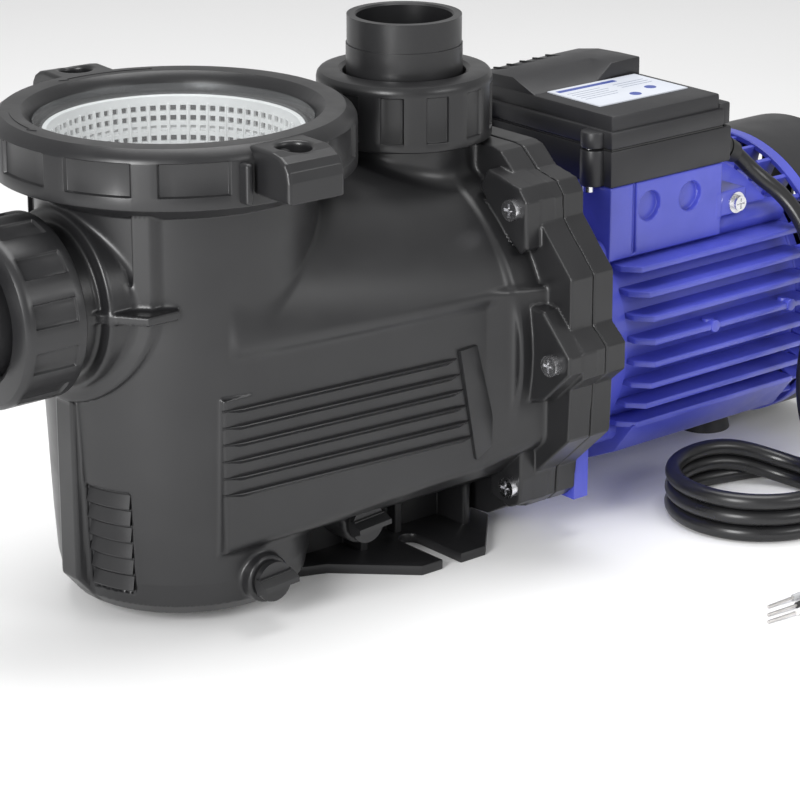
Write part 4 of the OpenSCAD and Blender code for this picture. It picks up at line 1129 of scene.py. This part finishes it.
CORD_D = 9
COIL_AT = (153.6, -117)
COIL_R = 45.5
COIL_START = -20
COIL_END = -1005
STEP_DOWN = (285, 350)
ROUTE = [
    (200.4, -47, 181.9), (205, -48.5, 177.5), (210, -51, 171.5), (216.5, -56, 164.5),
    (222, -63, 158), (225, -71, 150), (225.5, -80, 140), (223, -89, 127), (219, -95, 112),
    (214, -98.5, 95), (210.5, -99.5, 78), (208.7, -98.8, 60), (207.1, -103.3, 40.5), (202.5, -115.7, 27.3),
]
TAIL = [
    (186, -78.8, 4.5), (201, -84.5, 4.5), (214, -95, 4.5), (222.5, -110, 4.5), (226, -128, 4.5),
    (224.5, -148, 4.5), (218, -168, 4.5), (207, -187, 4.5), (192, -203, 4.5), (176, -215, 4.5),
    (160, -223, 4.5), (144, -228, 4.5), (126, -230, 4.5), (108, -229, 4.5),
]
LEAD_STARTS = [(108, -226.8, 5.5), (108, -229, 3.2), (108, -231.2, 5.5)]
LEAD_ENDS = [(77.4, -217.6, 1.7), (71.3, -225.6, 1.7), (64.5, -232, 1.7)]
TIP_ENDS = [(60, -216.6, 1), (52.4, -223.7, 1), (46, -229.9, 1)]


def curve_piece(name, points, radius):
    data = bpy.data.curves.new(name, "CURVE")
    data.dimensions = "3D"
    data.resolution_u = 6
    data.bevel_depth = radius * MM
    data.bevel_resolution = 6
    data.use_fill_caps = True
    spline = data.splines.new("NURBS")
    spline.points.add(len(points) - 1)
    for knot, point in zip(spline.points, points):
        knot.co = (*[c * MM for c in point], 1)
    spline.order_u = 3
    spline.use_endpoint_u = True
    obj = bpy.data.objects.new(name, data)
    bpy.context.scene.collection.objects.link(obj)
    return obj


def coil_points(steps):
    """Clockwise turns, each flat, stepping down one cord diameter on the side away from the pump."""
    points = []
    for i in range(steps + 1):
        angle = COIL_START + (COIL_END - COIL_START) * i / steps
        turns, part = divmod(-angle, 360)
        step = min(1, max(0, (part - STEP_DOWN[0]) / (STEP_DOWN[1] - STEP_DOWN[0])))
        drop = min(2, turns + step * step * (3 - 2 * step))
        a = math.radians(angle)
        points.append((COIL_AT[0] + COIL_R * math.cos(a), COIL_AT[1] + COIL_R * math.sin(a),
                       CORD_D * (2.5 - drop)))
    return points


def cord_points():
    return ROUTE + coil_points(60) + TAIL


def make_cord():
    points = cord_points()
    obj = curve_piece("mains_cord", points, CORD_D / 2)
    publish(obj, "cord_rubber", "housing", ["cord_tube", "cord_coil", "cord_tail"])
    return obj


def curve_length(obj):
    dg = bpy.context.evaluated_depsgraph_get()
    data = obj.data.copy()
    data.bevel_depth = 0
    probe = bpy.data.objects.new("probe", data)
    bpy.context.scene.collection.objects.link(probe)
    dg.update()
    mesh = probe.evaluated_get(dg).to_mesh()
    co = [v.co.copy() for v in mesh.vertices]
    total = sum((b - a).length for a, b in zip(co, co[1:]))
    bpy.data.objects.remove(probe)
    return total


def make_leads():
    pieces = []
    for i, name in enumerate(("lead_grey", "lead_black", "lead_white")):
        a, b = Vector(LEAD_STARTS[i]), Vector(LEAD_ENDS[i])
        bow = a.lerp(b, 0.5) + Vector((0, 1.2 - 1.2 * i, 0.6))
        inside = a + Vector((4, 0, 0))
        lead = curve_piece("insulated_" + name, [inside, a, bow, b.lerp(bow, 0.2), b], 1.6)
        publish(lead, name, "housing", ["lead_wires"] if i == 0 else ())
        tip = curve_piece("stripped_" + name, [b.lerp(bow, 0.15), b, Vector(TIP_ENDS[i])], 0.8)
        publish(tip, "tinned_copper", "housing", ["conductor_tips"] if i == 0 else ())
        pieces += [lead, tip]
    return pieces


# ---------- surroundings ----------

SKY = 0.5
LAMPS = (
    # name, place, size, watts
    ("overhead", (0.1, 0.1, 1.7), (1.3, 0.9), 19),
    ("left", (-1.5, -0.67, 0.62), (0.45, 0.9), 24),
    ("front", (0.5, -1.8, 1.0), (0.9, 0.5), 8),
)


def make_stage():
    bpy.ops.mesh.primitive_plane_add(size=12, location=(0, 0, 0))
    floor = bpy.context.active_object
    floor.name = "floor"
    n = Nodes("floor")
    shader = n.make("ShaderNodeBsdfPrincipled", Roughness=0.75)
    pale = n.mix(n.spread(n.noise(2, 2), 0, 1), rgba(0.93, 0.93, 0.93), rgba(0.95, 0.95, 0.95))
    n.put(shader.inputs["Base Color"], pale)
    floor.data.materials.append(n.finish(shader.outputs["BSDF"]))

    world = bpy.data.worlds.new("studio")
    bpy.context.scene.world = world
    world.use_nodes = True
    world.node_tree.nodes["Background"].inputs["Color"].default_value = (1, 1, 1, 1)
    world.node_tree.nodes["Background"].inputs["Strength"].default_value = SKY
    bpy.context.scene.view_settings.view_transform = "Standard"

    for name, place, size, power in LAMPS:
        data = bpy.data.lights.new(name, "AREA")
        data.shape = "RECTANGLE"
        data.size, data.size_y = size
        data.energy = power
        lamp = bpy.data.objects.new(name, data)
        lamp.location = place
        lamp.rotation_euler = (Vector((0, 0, 0.12)) - Vector(place)).to_track_quat("-Z", "Y").to_euler()
        bpy.context.scene.collection.objects.link(lamp)


# ---------- build ----------

make_camera()
MATERIALS = make_materials()
cord = make_cord()
leads = make_leads()
round(curve_length(cord), 2)
make_stage()
make_casing()
make_base_plate()
make_pot_louvres()
make_louvres()
make_seal_plate()
make_lock_ring()
make_nuts()
make_basket()
make_motor_frame()
make_motor_pad()
make_rear_shield()
make_terminal_cover()
make_terminal_box()
make_plate_marks()
finish_cad_nodes()
